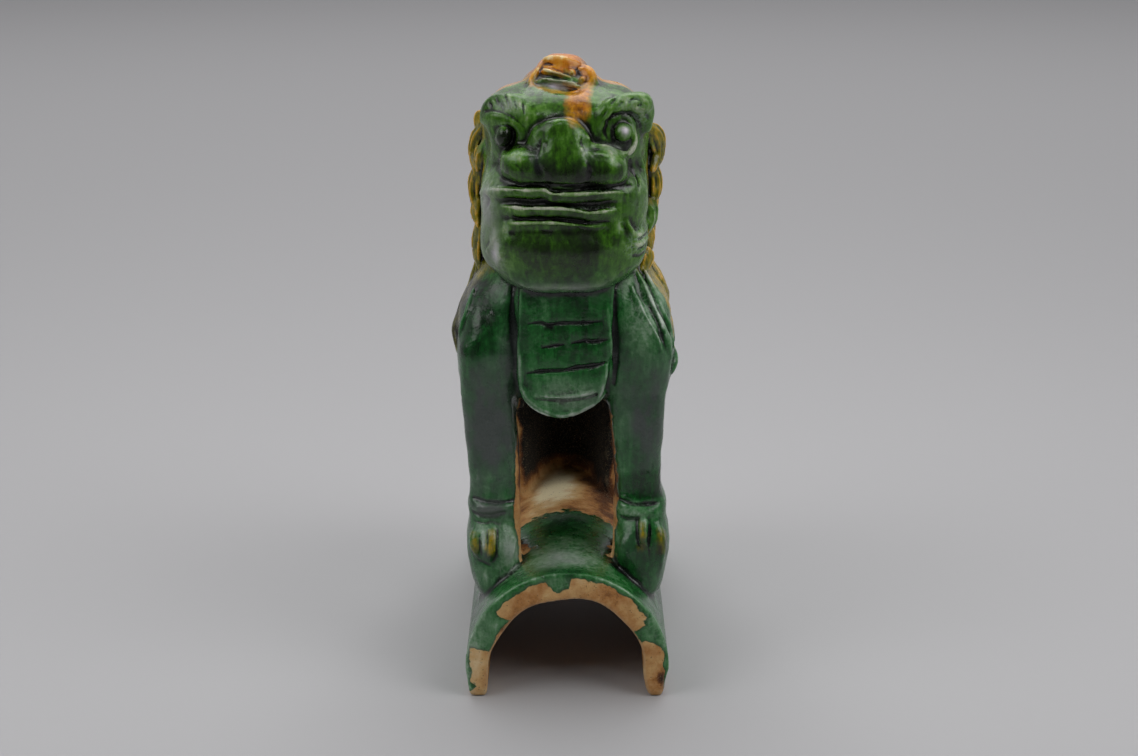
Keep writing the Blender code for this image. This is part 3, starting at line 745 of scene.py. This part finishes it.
class Canvas:
    """The mesh's points in the lion's millimetres, on which values are painted."""

    def __init__(self, piece):
        self.mesh = piece.data
        count = len(self.mesh.vertices)
        points = np.empty(3 * count)
        self.mesh.vertices.foreach_get("co", points)
        self.points = points.reshape(-1, 3) / MM - (0, FRONT_Y, 0)

    def store(self, name, values):
        layer = self.mesh.attributes.new(name, "FLOAT", "POINT")
        layer.data.foreach_set("value", np.asarray(values, np.float32))

    def spot(self, centre, radii):
        """1 at the centre, 0.37 on the ellipsoid and falling to nothing outside it."""
        gaps = (self.points - centre) / radii
        return np.exp(-(gaps**2).sum(axis=1))

    def painted(self, spots):
        """The sum of soft spots, each an amount, a centre and radii."""
        return sum(amount * self.spot(centre, radii) for amount, centre, radii in spots)

    def distance_to(self, shape):
        return shape.distance(*self.points.T)


def relief(clay, canvas, reach):
    """Positive on edges and ridges and negative in creases, of the size that a blur of this reach sees."""
    sharp = clay.field
    clay.field = blurred(np.clip(sharp, -4, 4), max(1, round(reach / VOXEL)))
    values = clay.sample(canvas.points)
    clay.field = sharp
    return values


def inside(*edges):
    """Millimetres inside a region, from the distances inside each of its edges."""
    return np.minimum.reduce(np.broadcast_arrays(*edges))


def within(canvas, centre, radii):
    """Millimetres inside an ellipsoid."""
    return -canvas.distance_to(blob(centre, radii))


def bare_rim(canvas):
    """The cut front end, where glaze ran over its outer edge, a notch left of the crown and both flanks."""
    x, d, z = canvas.points.T
    angle = np.degrees(np.arctan2(z - TILE_CENTRE_Z, x))
    radius = np.hypot(x, z - TILE_CENTRE_Z)
    per_degree = 0.77
    ends = np.hypot(np.clip(np.abs(angle - 85) - 45, 0, 90) * per_degree, radius - 42.5)
    arc = inside(7.6 - ends, 47.6 - radius - 0.03 * np.clip(angle - 80, 0, 60))
    notch = within(canvas, (-3.4, 0, 60.6), (5.2, 8, 6))
    left_foot = inside(24.5 - z - 0.3 * (x + 41), x + 47.4, z - 4.0 + 0.8 * (x + 42), -x)
    right_foot = inside(8.6 - np.hypot(x - 39, np.clip(z - 20.5, 0, 99)), 47.4 - x, x)
    return inside(np.maximum.reduce([inside(arc, -notch), left_foot, right_foot]), 2.4 - d)


def bare_inside(canvas):
    """The raw walls of the passage, the dome and the windows, and the crown between the haunches."""
    x, d, z = canvas.points.T
    hollow = -np.minimum.reduce([canvas.distance_to(gap) for gap in (way_in(), body_dome(), side_windows())])
    over_crown = np.hypot(x, z - TILE_CENTRE_Z) - TILE_RADIUS
    glazed_edge = np.where((x < 0) & (z < 118), 27, 31)
    behind_legs = inside((d - glazed_edge) * 0.7, 30.0 - np.abs(x + 0.4), 105.0 - z + d)
    walls = inside(hollow + 3, over_crown - 1.2, behind_legs)
    crown = inside(hollow + 2, (d - 92.0 + 0.35 * np.abs(x)) * 0.16, 76 - z, 32.0 - np.abs(x))
    return inside(np.maximum(walls, crown), 168.0 - d)


# flakes of glaze lost: centre and radius
CHIPS = (
    ((-1.3, 25, 152.5), 1.5), ((-24.5, 26, 118.5), 2.2), ((21.5, 28, 117), 1.4), ((-12.5, 1, 64.6), 0.8),
    ((-24, 50, 61), 4.4), ((24.5, 49, 61), 4), ((-21.5, 42, 60.5), 4), ((23.4, 36, 59.5), 3.4),
    ((12, 209, 55), 5), ((-30, 206, 52), 4), ((46.6, 60, 14), 5), ((-47, 120, 12), 6), ((-46, 2, 9), 2),
)


def bare_clay(canvas):
    """Millimetres into bare clay, negative under glaze."""
    x, d, z = canvas.points.T
    channel = 1.0 - arch(CHANNEL_RADIUS, CHANNEL_CENTRE_Z, -2.2)(x, z)
    soles = 2.2 + 1.2 * np.sin(d * 0.09) - z
    rear = inside(d - LENGTH + 1.8, 48.8 - np.hypot(x, z - TILE_CENTRE_Z))
    chips = [size - np.linalg.norm(canvas.points - centre, axis=1) for centre, size in CHIPS]
    return np.maximum.reduce([bare_rim(canvas), bare_inside(canvas), channel, soles, rear, *chips])


def amber_glaze(canvas):
    """Millimetres into the amber glaze: topknot, crown, mane, a drip on the forehead and stains on claws."""
    x, d, z = canvas.points.T
    wave = 3.0 * np.sin(0.17 * z) + 1.8 * np.sin(0.43 * z + 1)
    head = inside(d - 45.0 - wave, z - 204)
    knot = inside(within(canvas, (-2.5, 46, 303), (19, 22, 13.5)), z - 292.6)
    recess = within(canvas, (-4.4, 39, 297.4), (11.5, 9.5, 4))
    fall = 292 - z
    drip = inside(5.4 - 0.12 * fall - np.abs(x - 5.2 + 0.06 * fall), z - 280.5, 296 - z, 45 - d)
    neck = inside(d - 50, z - 178.0 - 7 * np.sin(x * 0.35 + d * 0.1))
    shoulder = inside(np.abs(x + 1) - 45.5, z - 168.0 - 6 * np.sin(0.33 * d), d - 49, 80.0 - d)
    tail_tips = within(canvas, (FACE_X, 204, 132), (25, 13, 32))
    stains = [within(canvas, centre, radii) for centre, radii in (
        ((-45.2, 23, 72), (1.9, 6, 5)), ((-37.4, 21, 73), (2, 6, 5.6)), ((37.2, 20, 80), (1.3, 4, 3.4)),
        ((46.4, 24, 72), (2.2, 7, 6)), ((36.6, 20, 71), (1.6, 4, 2.2)),
    )]
    amber = np.maximum.reduce([head, knot, neck, shoulder, tail_tips, *stains])
    green_lock = within(canvas, (42, 50, 230), (7, 9, 7.5))
    return np.maximum(np.minimum(amber, -np.maximum(recess, green_lock)), drip)


# soft spots of paint from the top down: amount, centre and radii; besides thin and pooled glaze, bloom and
# stains, they paint highlights, shade and sheen
# Besides glaze that drew thin, these spots paint highlights: the cream spots on the cheek lobes, the pale
# spot on the left eye, the pale right eyeball with its painted highlight, the right of the nose, the pale lip
# edges, the folds at the mouth's corners, the band under the jaw, the bib's hem and the right cuff. The two
# large spots on the crown between the haunches paint a pool of light.
THIN_GLAZE_AND_PAINTED_LIGHT = (
    (0.6, (-4, 44, 306), (14, 12, 6)), (2.2, (-3, 40, 295.2), (9, 9, 2.4)),
    (0.2, (24, 55, 294), (9, 12, 6)), (1, (28, 24, 290), (8, 9, 4)), (1.4, (-28, 20, 289), (8, 9, 4)),
    (1.1, (34.4, 26, 284), (4, 9, 5)), (0.7, (3, 22, 283.5), (3, 8, 5)),
    (2, (-30.1, 18, 279.6), (3.2, 6, 1.8)), (1.9, (26.9, 16, 277.9), (2.6, 4, 2.4)),
    (1.5, (5.8, 12, 276.4), (1.8, 6, 2.4)), (0.3, (-44, 60, 275), (5, 9, 5)),
    (1, (-9, 12, 274), (1.2, 6, 5)), (1.2, (-14.2, 12, 273), (1.8, 6, 4.4)),
    (0.7, (20, 18, 270), (12, 7, 3)), (1.6, (7.6, 9, 268.6), (2.6, 6, 4.2)),
    (1.9, (-23.4, 10, 266.6), (4.4, 8, 2.6)), (1.6, (20.8, 12, 265), (2.2, 8, 4.4)),
    (0.4, (37, 26, 252), (7, 18, 28)), (0.9, (0, 12, 250.6), (36, 14, 1.4)),
    (1, (-38, 24, 244), (7, 14, 22)), (0.9, (0, 14, 242.2), (30, 12, 1.2)),
    (2.2, (24.6, 20, 232.5), (1.6, 8, 3.6)), (1.6, (-28.4, 18, 231), (1.8, 8, 4)),
    (1, (34.6, 26, 226), (5, 9, 4)), (0.6, (33, 22, 224), (7, 10, 8)), (1.4, (-33.4, 22, 223), (2.2, 9, 7)),
    (1.6, (28.6, 23, 222), (2.2, 9, 5)), (0.7, (-31, 20, 216), (8, 10, 10)), (1, (-2, 18, 203), (24, 8, 3)),
    (1, (35, 34, 186), (9, 20, 16)), (0.5, (48, 60, 184), (9, 16, 20)), (0.7, (0, 26, 148), (18, 8, 9)),
    (0.9, (30, 24, 87), (10, 7, 5)), (1.5, (-41.2, 20, 74), (1.6, 6, 7)),
    (0.7, (-38, 20, 72), (14, 10, 16)), (0.7, (-27, 20, 68), (6, 7, 12)), (3.8, (-5, 132, 66), (12, 28, 9)),
    (0.2, (0, 82, 66), (20, 8, 8)), (0.7, (10, 104, 65), (10, 22, 7)), (1.3, (0, 26, 64), (24, 24, 9)),
    (1.4, (-14, 108, 64), (10, 26, 8)), (0.4, (0, 2, 62), (34, 6, 10)), (0.6, (42, 0, 40), (10, 6, 14)),
    (0.6, (-44, 0, 30), (10, 6, 20)), (1, (-46, 0, 10), (6, 6, 14)), (0.5, (44, 0, 8), (6, 6, 14)),
)
# Besides glaze that pooled and stains, these spots paint shade: the dark gap under the muzzle, the top of the
# bib under the chin, the dark band on the crown before the lit patch and the crown's shadowed right side, and
# the inside of the channel under the tile.
POOLED_GLAZE_AND_PAINTED_SHADE = (
    (0.3, (7, 34, 291), (5, 10, 5)), (0.7, (6.4, 26, 286.5), (1.6, 8, 5)),
    (0.4, (-29, 24, 284), (10, 9, 4)), (0.8, (23.4, 16, 274.6), (3, 4, 3)),
    (2.6, (-29.4, 18, 274.2), (4.8, 6, 5.6)), (0.5, (44, 52, 262), (9, 16, 34)),
    (1.5, (-2, 4, 258), (28, 9, 9)), (0.3, (-44, 54, 250), (9, 14, 18)), (1.4, (-2, 12, 225), (25, 12, 14)),
    (0.6, (-48, 60, 205), (9, 16, 30)), (0.5, (28, 36, 194), (9, 20, 9)),
    (0.5, (-1, 26, 178), (24, 14, 22)), (1.4, (-37.2, 21, 70), (2.4, 6, 6)),
    (0.9, (46.4, 24, 70), (4, 8, 7)), (0.7, (40, 22, 70), (9, 8, 9)), (1, (-45.4, 23, 69), (2.4, 6, 6)),
    (0.9, (-39, 20, 66), (9, 8, 5)), (0.8, (0, 100, 66), (30, 8, 9)), (1.3, (-1, 3, 66), (28, 5, 4)),
    (0.6, (38, 20, 64), (12, 8, 9)), (1, (19, 128, 62), (6, 34, 12)), (3.5, (0, 130, 26), (44, 80, 26)),
    (2.2, (46.4, 0, 10), (2.4, 4, 4)),
)
# Besides a bloom on the glaze, these spots paint sheen and highlights: the lilac-white on the right eye, the
# brows and the nose, the band of reflection under the jaw, the grey veil of reflection on the left cheek and
# the legs, and the highlights on the cuffs and paws.
BLOOM_AND_PAINTED_SHEEN = (
    (1.5, (-5, 42, 296), (10, 9, 2.6)), (0.8, (-30, 20, 289), (5, 8, 4)),
    (1.4, (26.8, 16, 277.8), (2.8, 4, 2.5)), (0.8, (22, 20, 269), (10, 7, 2.6)),
    (0.5, (10, 8, 268), (3, 5, 5)), (1, (-14.4, 8, 266), (2.5, 5, 7)), (0.35, (34, 24, 243), (6, 10, 8)),
    (1.2, (-38, 22, 238), (7, 14, 20)), (0.7, (-33, 22, 218), (7, 10, 10)),
    (1.3, (-2, 20, 203), (34, 15, 4)), (0.7, (-27, 28, 172), (5, 10, 14)),
    (0.5, (29, 32, 166), (6, 10, 14)), (0.8, (4, 25, 146), (18, 8, 9)), (1.5, (39, 32, 136), (13, 24, 30)),
    (1.9, (-38, 30, 130), (14, 24, 36)), (0.6, (-40.6, 22, 89), (8, 6, 3)),
    (0.6, (-35, 24, 88), (15, 9, 3)), (1.1, (37, 18, 76), (2, 6, 3)), (0.6, (31, 20, 74), (6, 6, 10)),
    (0.4, (-30, 20, 70), (8, 8, 14)), (1, (-40.6, 18, 66.4), (2.4, 6, 2.4)),
    (0.9, (0, 80, 66), (30, 12, 7)), (0.7, (-6, 16, 65), (16, 16, 5)), (1, (-46, 60, 40), (10, 60, 22)),
    (0.9, (46, 70, 40), (10, 60, 22)),
)


def painted_reflection_edge(canvas):
    """1 above a plain painted edge, over which the glaze is painted darker and without its painted sheen: on
    the left shoulder, where the edge stands in for the edge of the table's reflection, and low on the right
    leg.
    """
    x, d, z = canvas.points.T
    shoulder = inside(-33.5 - x, z - 165.5 - 0.08 * (x + 40), 70 - d, 200 - z)
    leg = inside(x - 22, 107.5 + 0.12 * (x - 36) - z, z - 92.5, 60 - d)
    return np.clip(np.maximum(shoulder, leg) / 1.6, 0, 1)


def painted_hollow_shade(canvas):
    """Painted shade in the hollow body: none on the tile's crown, growing up the walls and toward the back.
    """
    _, d, z = canvas.points.T
    hollow = -np.minimum(canvas.distance_to(way_in()), canvas.distance_to(body_dome()))
    deep_in = np.clip((d - 34) / 60, 0, 1)
    up = np.clip((z - 94 + 32 * deep_in) / 18, 0, 1)
    return np.clip((hollow + 3) / 2, 0, 1) * np.clip((d - 30) / 8, 0, 1) * up


def paint(piece, clay):
    """Stores on the mesh what its material asks for: relief, where each coat lies, its depth with painted
    light and shade, and its bloom with painted sheen.
    """
    canvas = Canvas(piece)
    canvas.store("edge_fine", relief(clay, canvas, 1.4))
    canvas.store("edge_broad", relief(clay, canvas, 4))
    canvas.store("bare", bare_clay(canvas))
    canvas.store("amber", amber_glaze(canvas))
    above_reflection_edge = painted_reflection_edge(canvas)
    # Tone: glaze depth, with painted highlights, a painted pool of light and painted shade, darkest where
    # shade is painted in the hollow. The next layer: a bloom with painted sheen and highlights, none above
    # the painted reflection edge.
    canvas.store("tone", canvas.painted(THIN_GLAZE_AND_PAINTED_LIGHT) - canvas.painted(POOLED_GLAZE_AND_PAINTED_SHADE) - above_reflection_edge - 4.0 * painted_hollow_shade(canvas))
    canvas.store("bloom_and_sheen", canvas.painted(BLOOM_AND_PAINTED_SHEEN) * (1 - above_reflection_edge))


# ---------------------------------------------------------------- materials
def srgb(red, green, blue):
    """A colour given as 0-255 sRGB, in the linear values that shaders take."""
    linear = [((c / 255 + 0.055) / 1.055) ** 2.4 if c > 10 else c / 255 / 12.92 for c in (red, green, blue)]
    return (*linear, 1.0)


class Shading:
    """A material's node tree, built one socket at a time."""

    def __init__(self, name):
        self.material = bpy.data.materials.new(name)
        self.material.use_nodes = True
        self.tree = self.material.node_tree
        self.shader = self.tree.nodes["Principled BSDF"]
        self.place = self.node("TexCoord", {}, "Object")

    def fill(self, node, inputs):
        for key, value in inputs.items():
            if isinstance(value, bpy.types.NodeSocket):
                self.tree.links.new(value, node.inputs[key])
            else:
                node.inputs[key].default_value = value

    def node(self, kind, inputs, output=0, **settings):
        """The chosen output of a new node with these settings and inputs."""
        node = self.tree.nodes.new("ShaderNode" + kind)
        for name, value in settings.items():
            setattr(node, name, value)
        self.fill(node, inputs)
        return node.outputs[output]

    def attribute(self, name):
        return self.node("Attribute", {}, "Fac", attribute_name=name)

    def height(self):
        return self.node("SeparateXYZ", {0: self.place}, "Z")

    def times(self, a, b, clamp=False):
        return self.node("Math", {0: a, 1: b}, operation="MULTIPLY", use_clamp=clamp)

    def total(self, first, *others, clamp=False):
        for other in others:
            first = self.node("Math", {0: first, 1: other}, operation="ADD", use_clamp=clamp)
        return first

    def scaled(self, value, from_low, from_high, to_low=0.0, to_high=1.0):
        ends = {"From Min": from_low, "From Max": from_high, "To Min": to_low, "To Max": to_high}
        return self.node("MapRange", {"Value": value} | ends)

    def noise(self, size, detail=3.0, stretch=(1, 1, 1), roughness=0.5, twist=0.0):
        """Noise from 0 to 1 with features of about this size in millimetres."""
        place = self.node("Mapping", {"Vector": self.place, "Scale": [1.0 / s for s in stretch]})
        grain = {"Vector": place, "Scale": 1.0 / (size * MM)}
        grain |= {"Detail": detail, "Roughness": roughness, "Distortion": twist}
        return self.node("TexNoise", grain, "Fac")

    def scattered(self, size, feature):
        """The distance to points scattered about this far apart, or to the borders between them."""
        grain = {"Vector": self.place, "Scale": 1.0 / (size * MM)}
        return self.node("TexVoronoi", grain, "Distance", feature=feature)

    def specks(self, size, outer, inner):
        """1 in round specks about this far apart, which fade from an inner to an outer radius."""
        return self.scaled(self.scattered(size, "F1"), outer, inner)

    def veins(self, size):
        """1 along a wandering net of thin lines about this far apart, 0 between them."""
        wander = self.scaled(self.noise(0.6 * size, 3), 0.3, 0.7, -0.12, 0.12)
        return self.scaled(self.total(self.scattered(size, "DISTANCE_TO_EDGE"), wander), 0.02, 0.16, 1, 0)

    def ramp(self, value, start, *stops):
        """A colour for a value from 0 to 1: an sRGB colour at 0, then (place, sRGB colour) stops."""
        node = self.tree.nodes.new("ShaderNodeValToRGB")
        elements = node.color_ramp.elements
        elements.remove(elements[1])
        elements[0].color = srgb(*start)
        for place, colour in stops:
            elements.new(place).color = srgb(*colour)
        self.fill(node, {"Fac": value})
        return node.outputs["Color"]

    def mix(self, share, a, b):
        factor, first, second, colour = 0, 6, 7, 2  # the places of its sockets for colours
        return self.node("Mix", {factor: share, first: a, second: b}, colour, data_type="RGBA")

    def bump(self, height, depth, **below):
        """A bump whose height of 1 stands this many millimetres proud, over the one below."""
        return self.node("Bump", {"Height": height, "Distance": depth * MM, "Strength": 1.0} | below)


def glaze_depth_and_painted_light(look, ridges, creases, patch_size, streak_size):
    """0 where glaze pooled thickest and where shade is painted, to 1 where it drew thin and where highlights
    are painted; from patches, runs, painted tone and relief.
    """
    patches = look.noise(patch_size, 5, (1, 1, 1.5), 0.62, 0.5)
    mottle = look.noise(streak_size, 4, (1, 1, 1.4), 0.7, 0.3)
    runs = look.noise(0.7 * streak_size, 3, (1, 1, 8), 0.6)
    depth = look.total(
        look.scaled(patches, 0.3, 0.7, -0.34, 0.34),
        look.scaled(runs, 0.3, 0.7, -0.18, 0.18),
        look.scaled(mottle, 0.3, 0.7, -0.24, 0.24),
        look.times(look.attribute("tone"), 0.42),
        look.times(ridges, 0.8),
        look.times(creases, -1.0),
    )
    return look.scaled(depth, -1.0, 1.0)


def green_glaze(look, ridges, creases):
    """Copper green, warmer on the head: nearly black where it pooled and where shade is painted, pale mint
    where it drew thin on edges, which also paints their highlights, and where highlights are painted.
    """
    shade = glaze_depth_and_painted_light(look, ridges, creases, 16, 3.2)
    cool = look.ramp(
        shade, (4, 10, 6), (0.2, (8, 46, 15)), (0.38, (15, 76, 26)), (0.54, (34, 106, 44)),
        (0.7, (84, 136, 86)), (0.86, (150, 176, 150)), (1, (200, 212, 198)),
    )
    warm = look.ramp(
        shade, (8, 12, 4), (0.2, (20, 36, 8)), (0.38, (38, 70, 14)), (0.54, (62, 112, 20)),
        (0.7, (100, 146, 58)), (0.86, (156, 178, 132)), (1, (208, 212, 190)),
    )
    height = look.total(look.height(), look.times(look.noise(12), 0.02))
    return look.mix(look.scaled(height, 0.205, 0.225), cool, warm)


def amber_colour(look, ridges, creases):
    """Iron amber over a cream slip: orange on the topknot, mustard and olive on the mane."""
    shade = glaze_depth_and_painted_light(look, ridges, creases, 11, 2.6)
    orange = look.ramp(
        shade, (24, 12, 4), (0.22, (96, 44, 8)), (0.42, (176, 90, 8)), (0.58, (214, 128, 14)),
        (0.78, (232, 164, 52)), (1, (244, 220, 160)),
    )
    olive = look.ramp(
        shade, (14, 12, 4), (0.22, (54, 54, 6)), (0.42, (104, 104, 8)), (0.58, (158, 138, 14)),
        (0.78, (208, 158, 40)), (1, (236, 216, 140)),
    )
    height = look.total(look.height(), look.times(look.noise(14), 0.05))
    return look.mix(look.scaled(height, 0.302, 0.332), olive, orange)


def clay_colour(look):
    """Buff body: sandy, darker where it is stained and where shade is painted in the hollow and the channel,
    paler in a painted pool of light on the crown, with pale flecks and dark iron specks.
    """
    painted = look.times(look.attribute("tone"), 0.24)
    colour = look.ramp(
        look.total(look.noise(11, 4, roughness=0.65), painted), (10, 7, 5), (0.3, (112, 66, 32)),
        (0.46, (184, 128, 70)), (0.66, (214, 172, 114)), (1, (244, 228, 186)),
    )
    grain = look.noise(0.7, 2, roughness=0.7)
    colour = look.mix(look.scaled(grain, 0.55, 0.75, 0, 0.5), colour, srgb(200, 176, 138))
    specks = look.specks(2.1, 0.16, 0.1)
    return look.mix(look.times(specks, 0.7), colour, srgb(70, 46, 28))


def coat_edges(look):
    """Millimetres into bare clay and into amber, frayed as running glaze leaves its edge."""
    wander = look.scaled(look.noise(6, 2, roughness=0.5), 0.2, 0.8, -2.4, 2.4)
    fray = look.scaled(look.noise(1.6, 2, roughness=0.5), 0.2, 0.8, -0.4, 0.4)
    edge = look.total(wander, fray)
    bare_at = look.total(look.attribute("bare"), look.times(edge, 0.4))
    return bare_at, look.total(look.attribute("amber"), look.times(edge, 0.8))


def weathering_and_sheen(look, green):
    """The green where it drew thin shows a net of pale veins, and a bloom with painted sheen and highlights
    clouds it in patches.
    """
    tone = look.attribute("tone")
    net = look.times(look.veins(3.0), look.scaled(tone, 0.15, 0.9, 0, 0.5))
    green = look.mix(net, green, srgb(150, 178, 150))
    bloom_sheen_colour = look.ramp(
        look.scaled(tone, -0.6, 1.6), (44, 50, 50), (0.28, (72, 80, 76)), (0.55, (122, 130, 120)),
        (1, (224, 216, 228)),
    )
    cloud = look.scaled(look.noise(9, 3, (1, 1, 1.8)), 0.3, 0.62, 0.35, 1.0)
    bloom_and_sheen = look.times(look.attribute("bloom_and_sheen"), cloud)
    return look.mix(look.times(bloom_and_sheen, 0.85, clamp=True), green, bloom_sheen_colour)


def surface(look, bare_at, bare):
    """Glossy glaze with a slight skin, that stands proud of matt grainy clay."""
    gloss = look.scaled(look.noise(7, 3), 0.35, 0.7, 0.21, 0.36)
    grain = look.times(look.noise(0.8, 3, roughness=0.7), bare)
    skin = look.times(look.noise(2.6, 2), look.scaled(bare, 1, 0))
    normal = look.bump(look.scaled(bare_at, -0.5, 0.3, 1, 0), 0.25)
    normal = look.bump(skin, 0.22, Normal=look.bump(grain, 0.5, Normal=normal))
    return {"Roughness": look.total(gloss, look.times(bare, 0.64)), "Normal": normal}


def glaze_material():
    """Green and amber lead glazes, and the clay that shows where neither of them lies."""
    look = Shading("lead_glaze_on_clay")
    fine, broad = look.attribute("edge_fine"), look.attribute("edge_broad")
    ridges = look.total(look.scaled(fine, 0.2, 0.62), look.scaled(broad, 0.6, 2.2, 0, 0.4), clamp=True)
    creases = look.total(look.scaled(fine, -0.04, -0.3), look.scaled(broad, -0.25, -1.4, 0, 0.7), clamp=True)
    bare_at, amber_at = coat_edges(look)
    bare = look.scaled(bare_at, -0.12, 0.18)

    green = weathering_and_sheen(look, green_glaze(look, ridges, creases))
    glaze = look.mix(look.scaled(amber_at, -1.8, 1.6), green, amber_colour(look, ridges, creases))
    glaze = look.mix(look.scaled(bare_at, -1.4, -0.1, 0, 0.55), glaze, srgb(20, 40, 18))
    pits = look.specks(3.4, 0.075, 0.05)
    glaze = look.mix(look.times(pits, 0.5), glaze, srgb(14, 18, 10))
    cream = look.mix(look.times(ridges, 0.7), clay_colour(look), srgb(206, 190, 156))
    look.fill(look.shader, {"Base Color": look.mix(bare, glaze, cream)} | surface(look, bare_at, bare))
    return look.material


# ---------------------------------------------------------------- the studio
TABLE_SIZE = 16.0
TABLE_EDGE_Y = -0.68
LIT_POINT = (0, 0, 0.15)


def table():
    """A pale table top that ends a little before the lion and runs on far behind it."""
    bpy.ops.mesh.primitive_plane_add(size=TABLE_SIZE, location=(0, TABLE_SIZE / 2 + TABLE_EDGE_Y, 0))
    top = bpy.context.object
    top.name = "table_top"
    paper = bpy.data.materials.new("paper")
    paper.use_nodes = True
    shader = paper.node_tree.nodes["Principled BSDF"]
    shader.inputs["Base Color"].default_value = (0.455, 0.452, 0.46, 1)
    shader.inputs["Roughness"].default_value = 0.9
    top.data.materials.append(paper)


def softbox(name, bearing, elevation, distance, size, radiance, grid=179.0):
    """A square light whose grid opens so many degrees: bearing 0 is in front, 90 to the viewer's right."""
    data = bpy.data.lights.new(name, "AREA")
    data.size = size
    data.spread = math.radians(grid)
    half = data.spread / 2
    data.energy = math.pi * size**2 * radiance * (1 - half / math.tan(half))
    light = placed(name, data)
    turn = Euler((math.radians(90 - elevation), 0, math.radians(bearing)))
    light.rotation_euler = turn
    light.location = Vector(LIT_POINT) + turn.to_matrix() @ Vector((0, 0, distance))


def lights():
    """A large box at each side, a small lamp in front for the sparks in the glaze, and one high behind."""
    softbox("right_box", 64, 38, 1.5, 1.15, 3.6, 70)
    softbox("left_box", -64, 38, 1.5, 1.15, 2.8, 70)
    softbox("front_lamp", -3, 48, 1.3, 0.1, 15.0)
    softbox("back_box", 180, 64, 3.6, 3.2, 2.3)


def room():
    """A dim room before the lion and a lighter one behind it."""
    studio = bpy.data.worlds.new("studio")
    bpy.context.scene.world = studio
    studio.use_nodes = True
    tree = studio.node_tree
    way = tree.nodes.new("ShaderNodeTexCoord").outputs["Generated"]
    split = tree.nodes.new("ShaderNodeSeparateXYZ")
    tree.links.new(way, split.inputs[0])
    level = tree.nodes.new("ShaderNodeMapRange")
    tree.links.new(split.outputs["Y"], level.inputs["Value"])
    for key, value in {"From Min": -0.3, "From Max": 1, "To Min": 0.06, "To Max": 0.72}.items():
        level.inputs[key].default_value = value
    tree.links.new(level.outputs[0], tree.nodes["Background"].inputs["Strength"])
    tree.nodes["Background"].inputs["Color"].default_value = (0.98, 0.97, 1.0, 1)


def camera():
    """A long lens a little above the lion's head, tipped down 16 degrees."""
    data = bpy.data.cameras.new("camera")
    data.lens = 64.85
    data.sensor_width = 36.0
    data.clip_start, data.clip_end = 0.01, 100
    eye = placed("camera", data)
    eye.location = (0.9 * MM, (FRONT_Y - 927.6) * MM, 429.4 * MM)
    eye.rotation_euler = (math.radians(74), 0, 0)
    bpy.context.scene.camera = eye


clay = sculpt()
lion = mesh_of(clay, "glazed_lion_tile")
paint(lion, clay)
lion.data.materials.append(glaze_material())
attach(lion, "root")
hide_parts("lion_ridge_tile")

table()
lights()
room()
camera()
bpy.context.scene.view_settings.view_transform = "Standard"
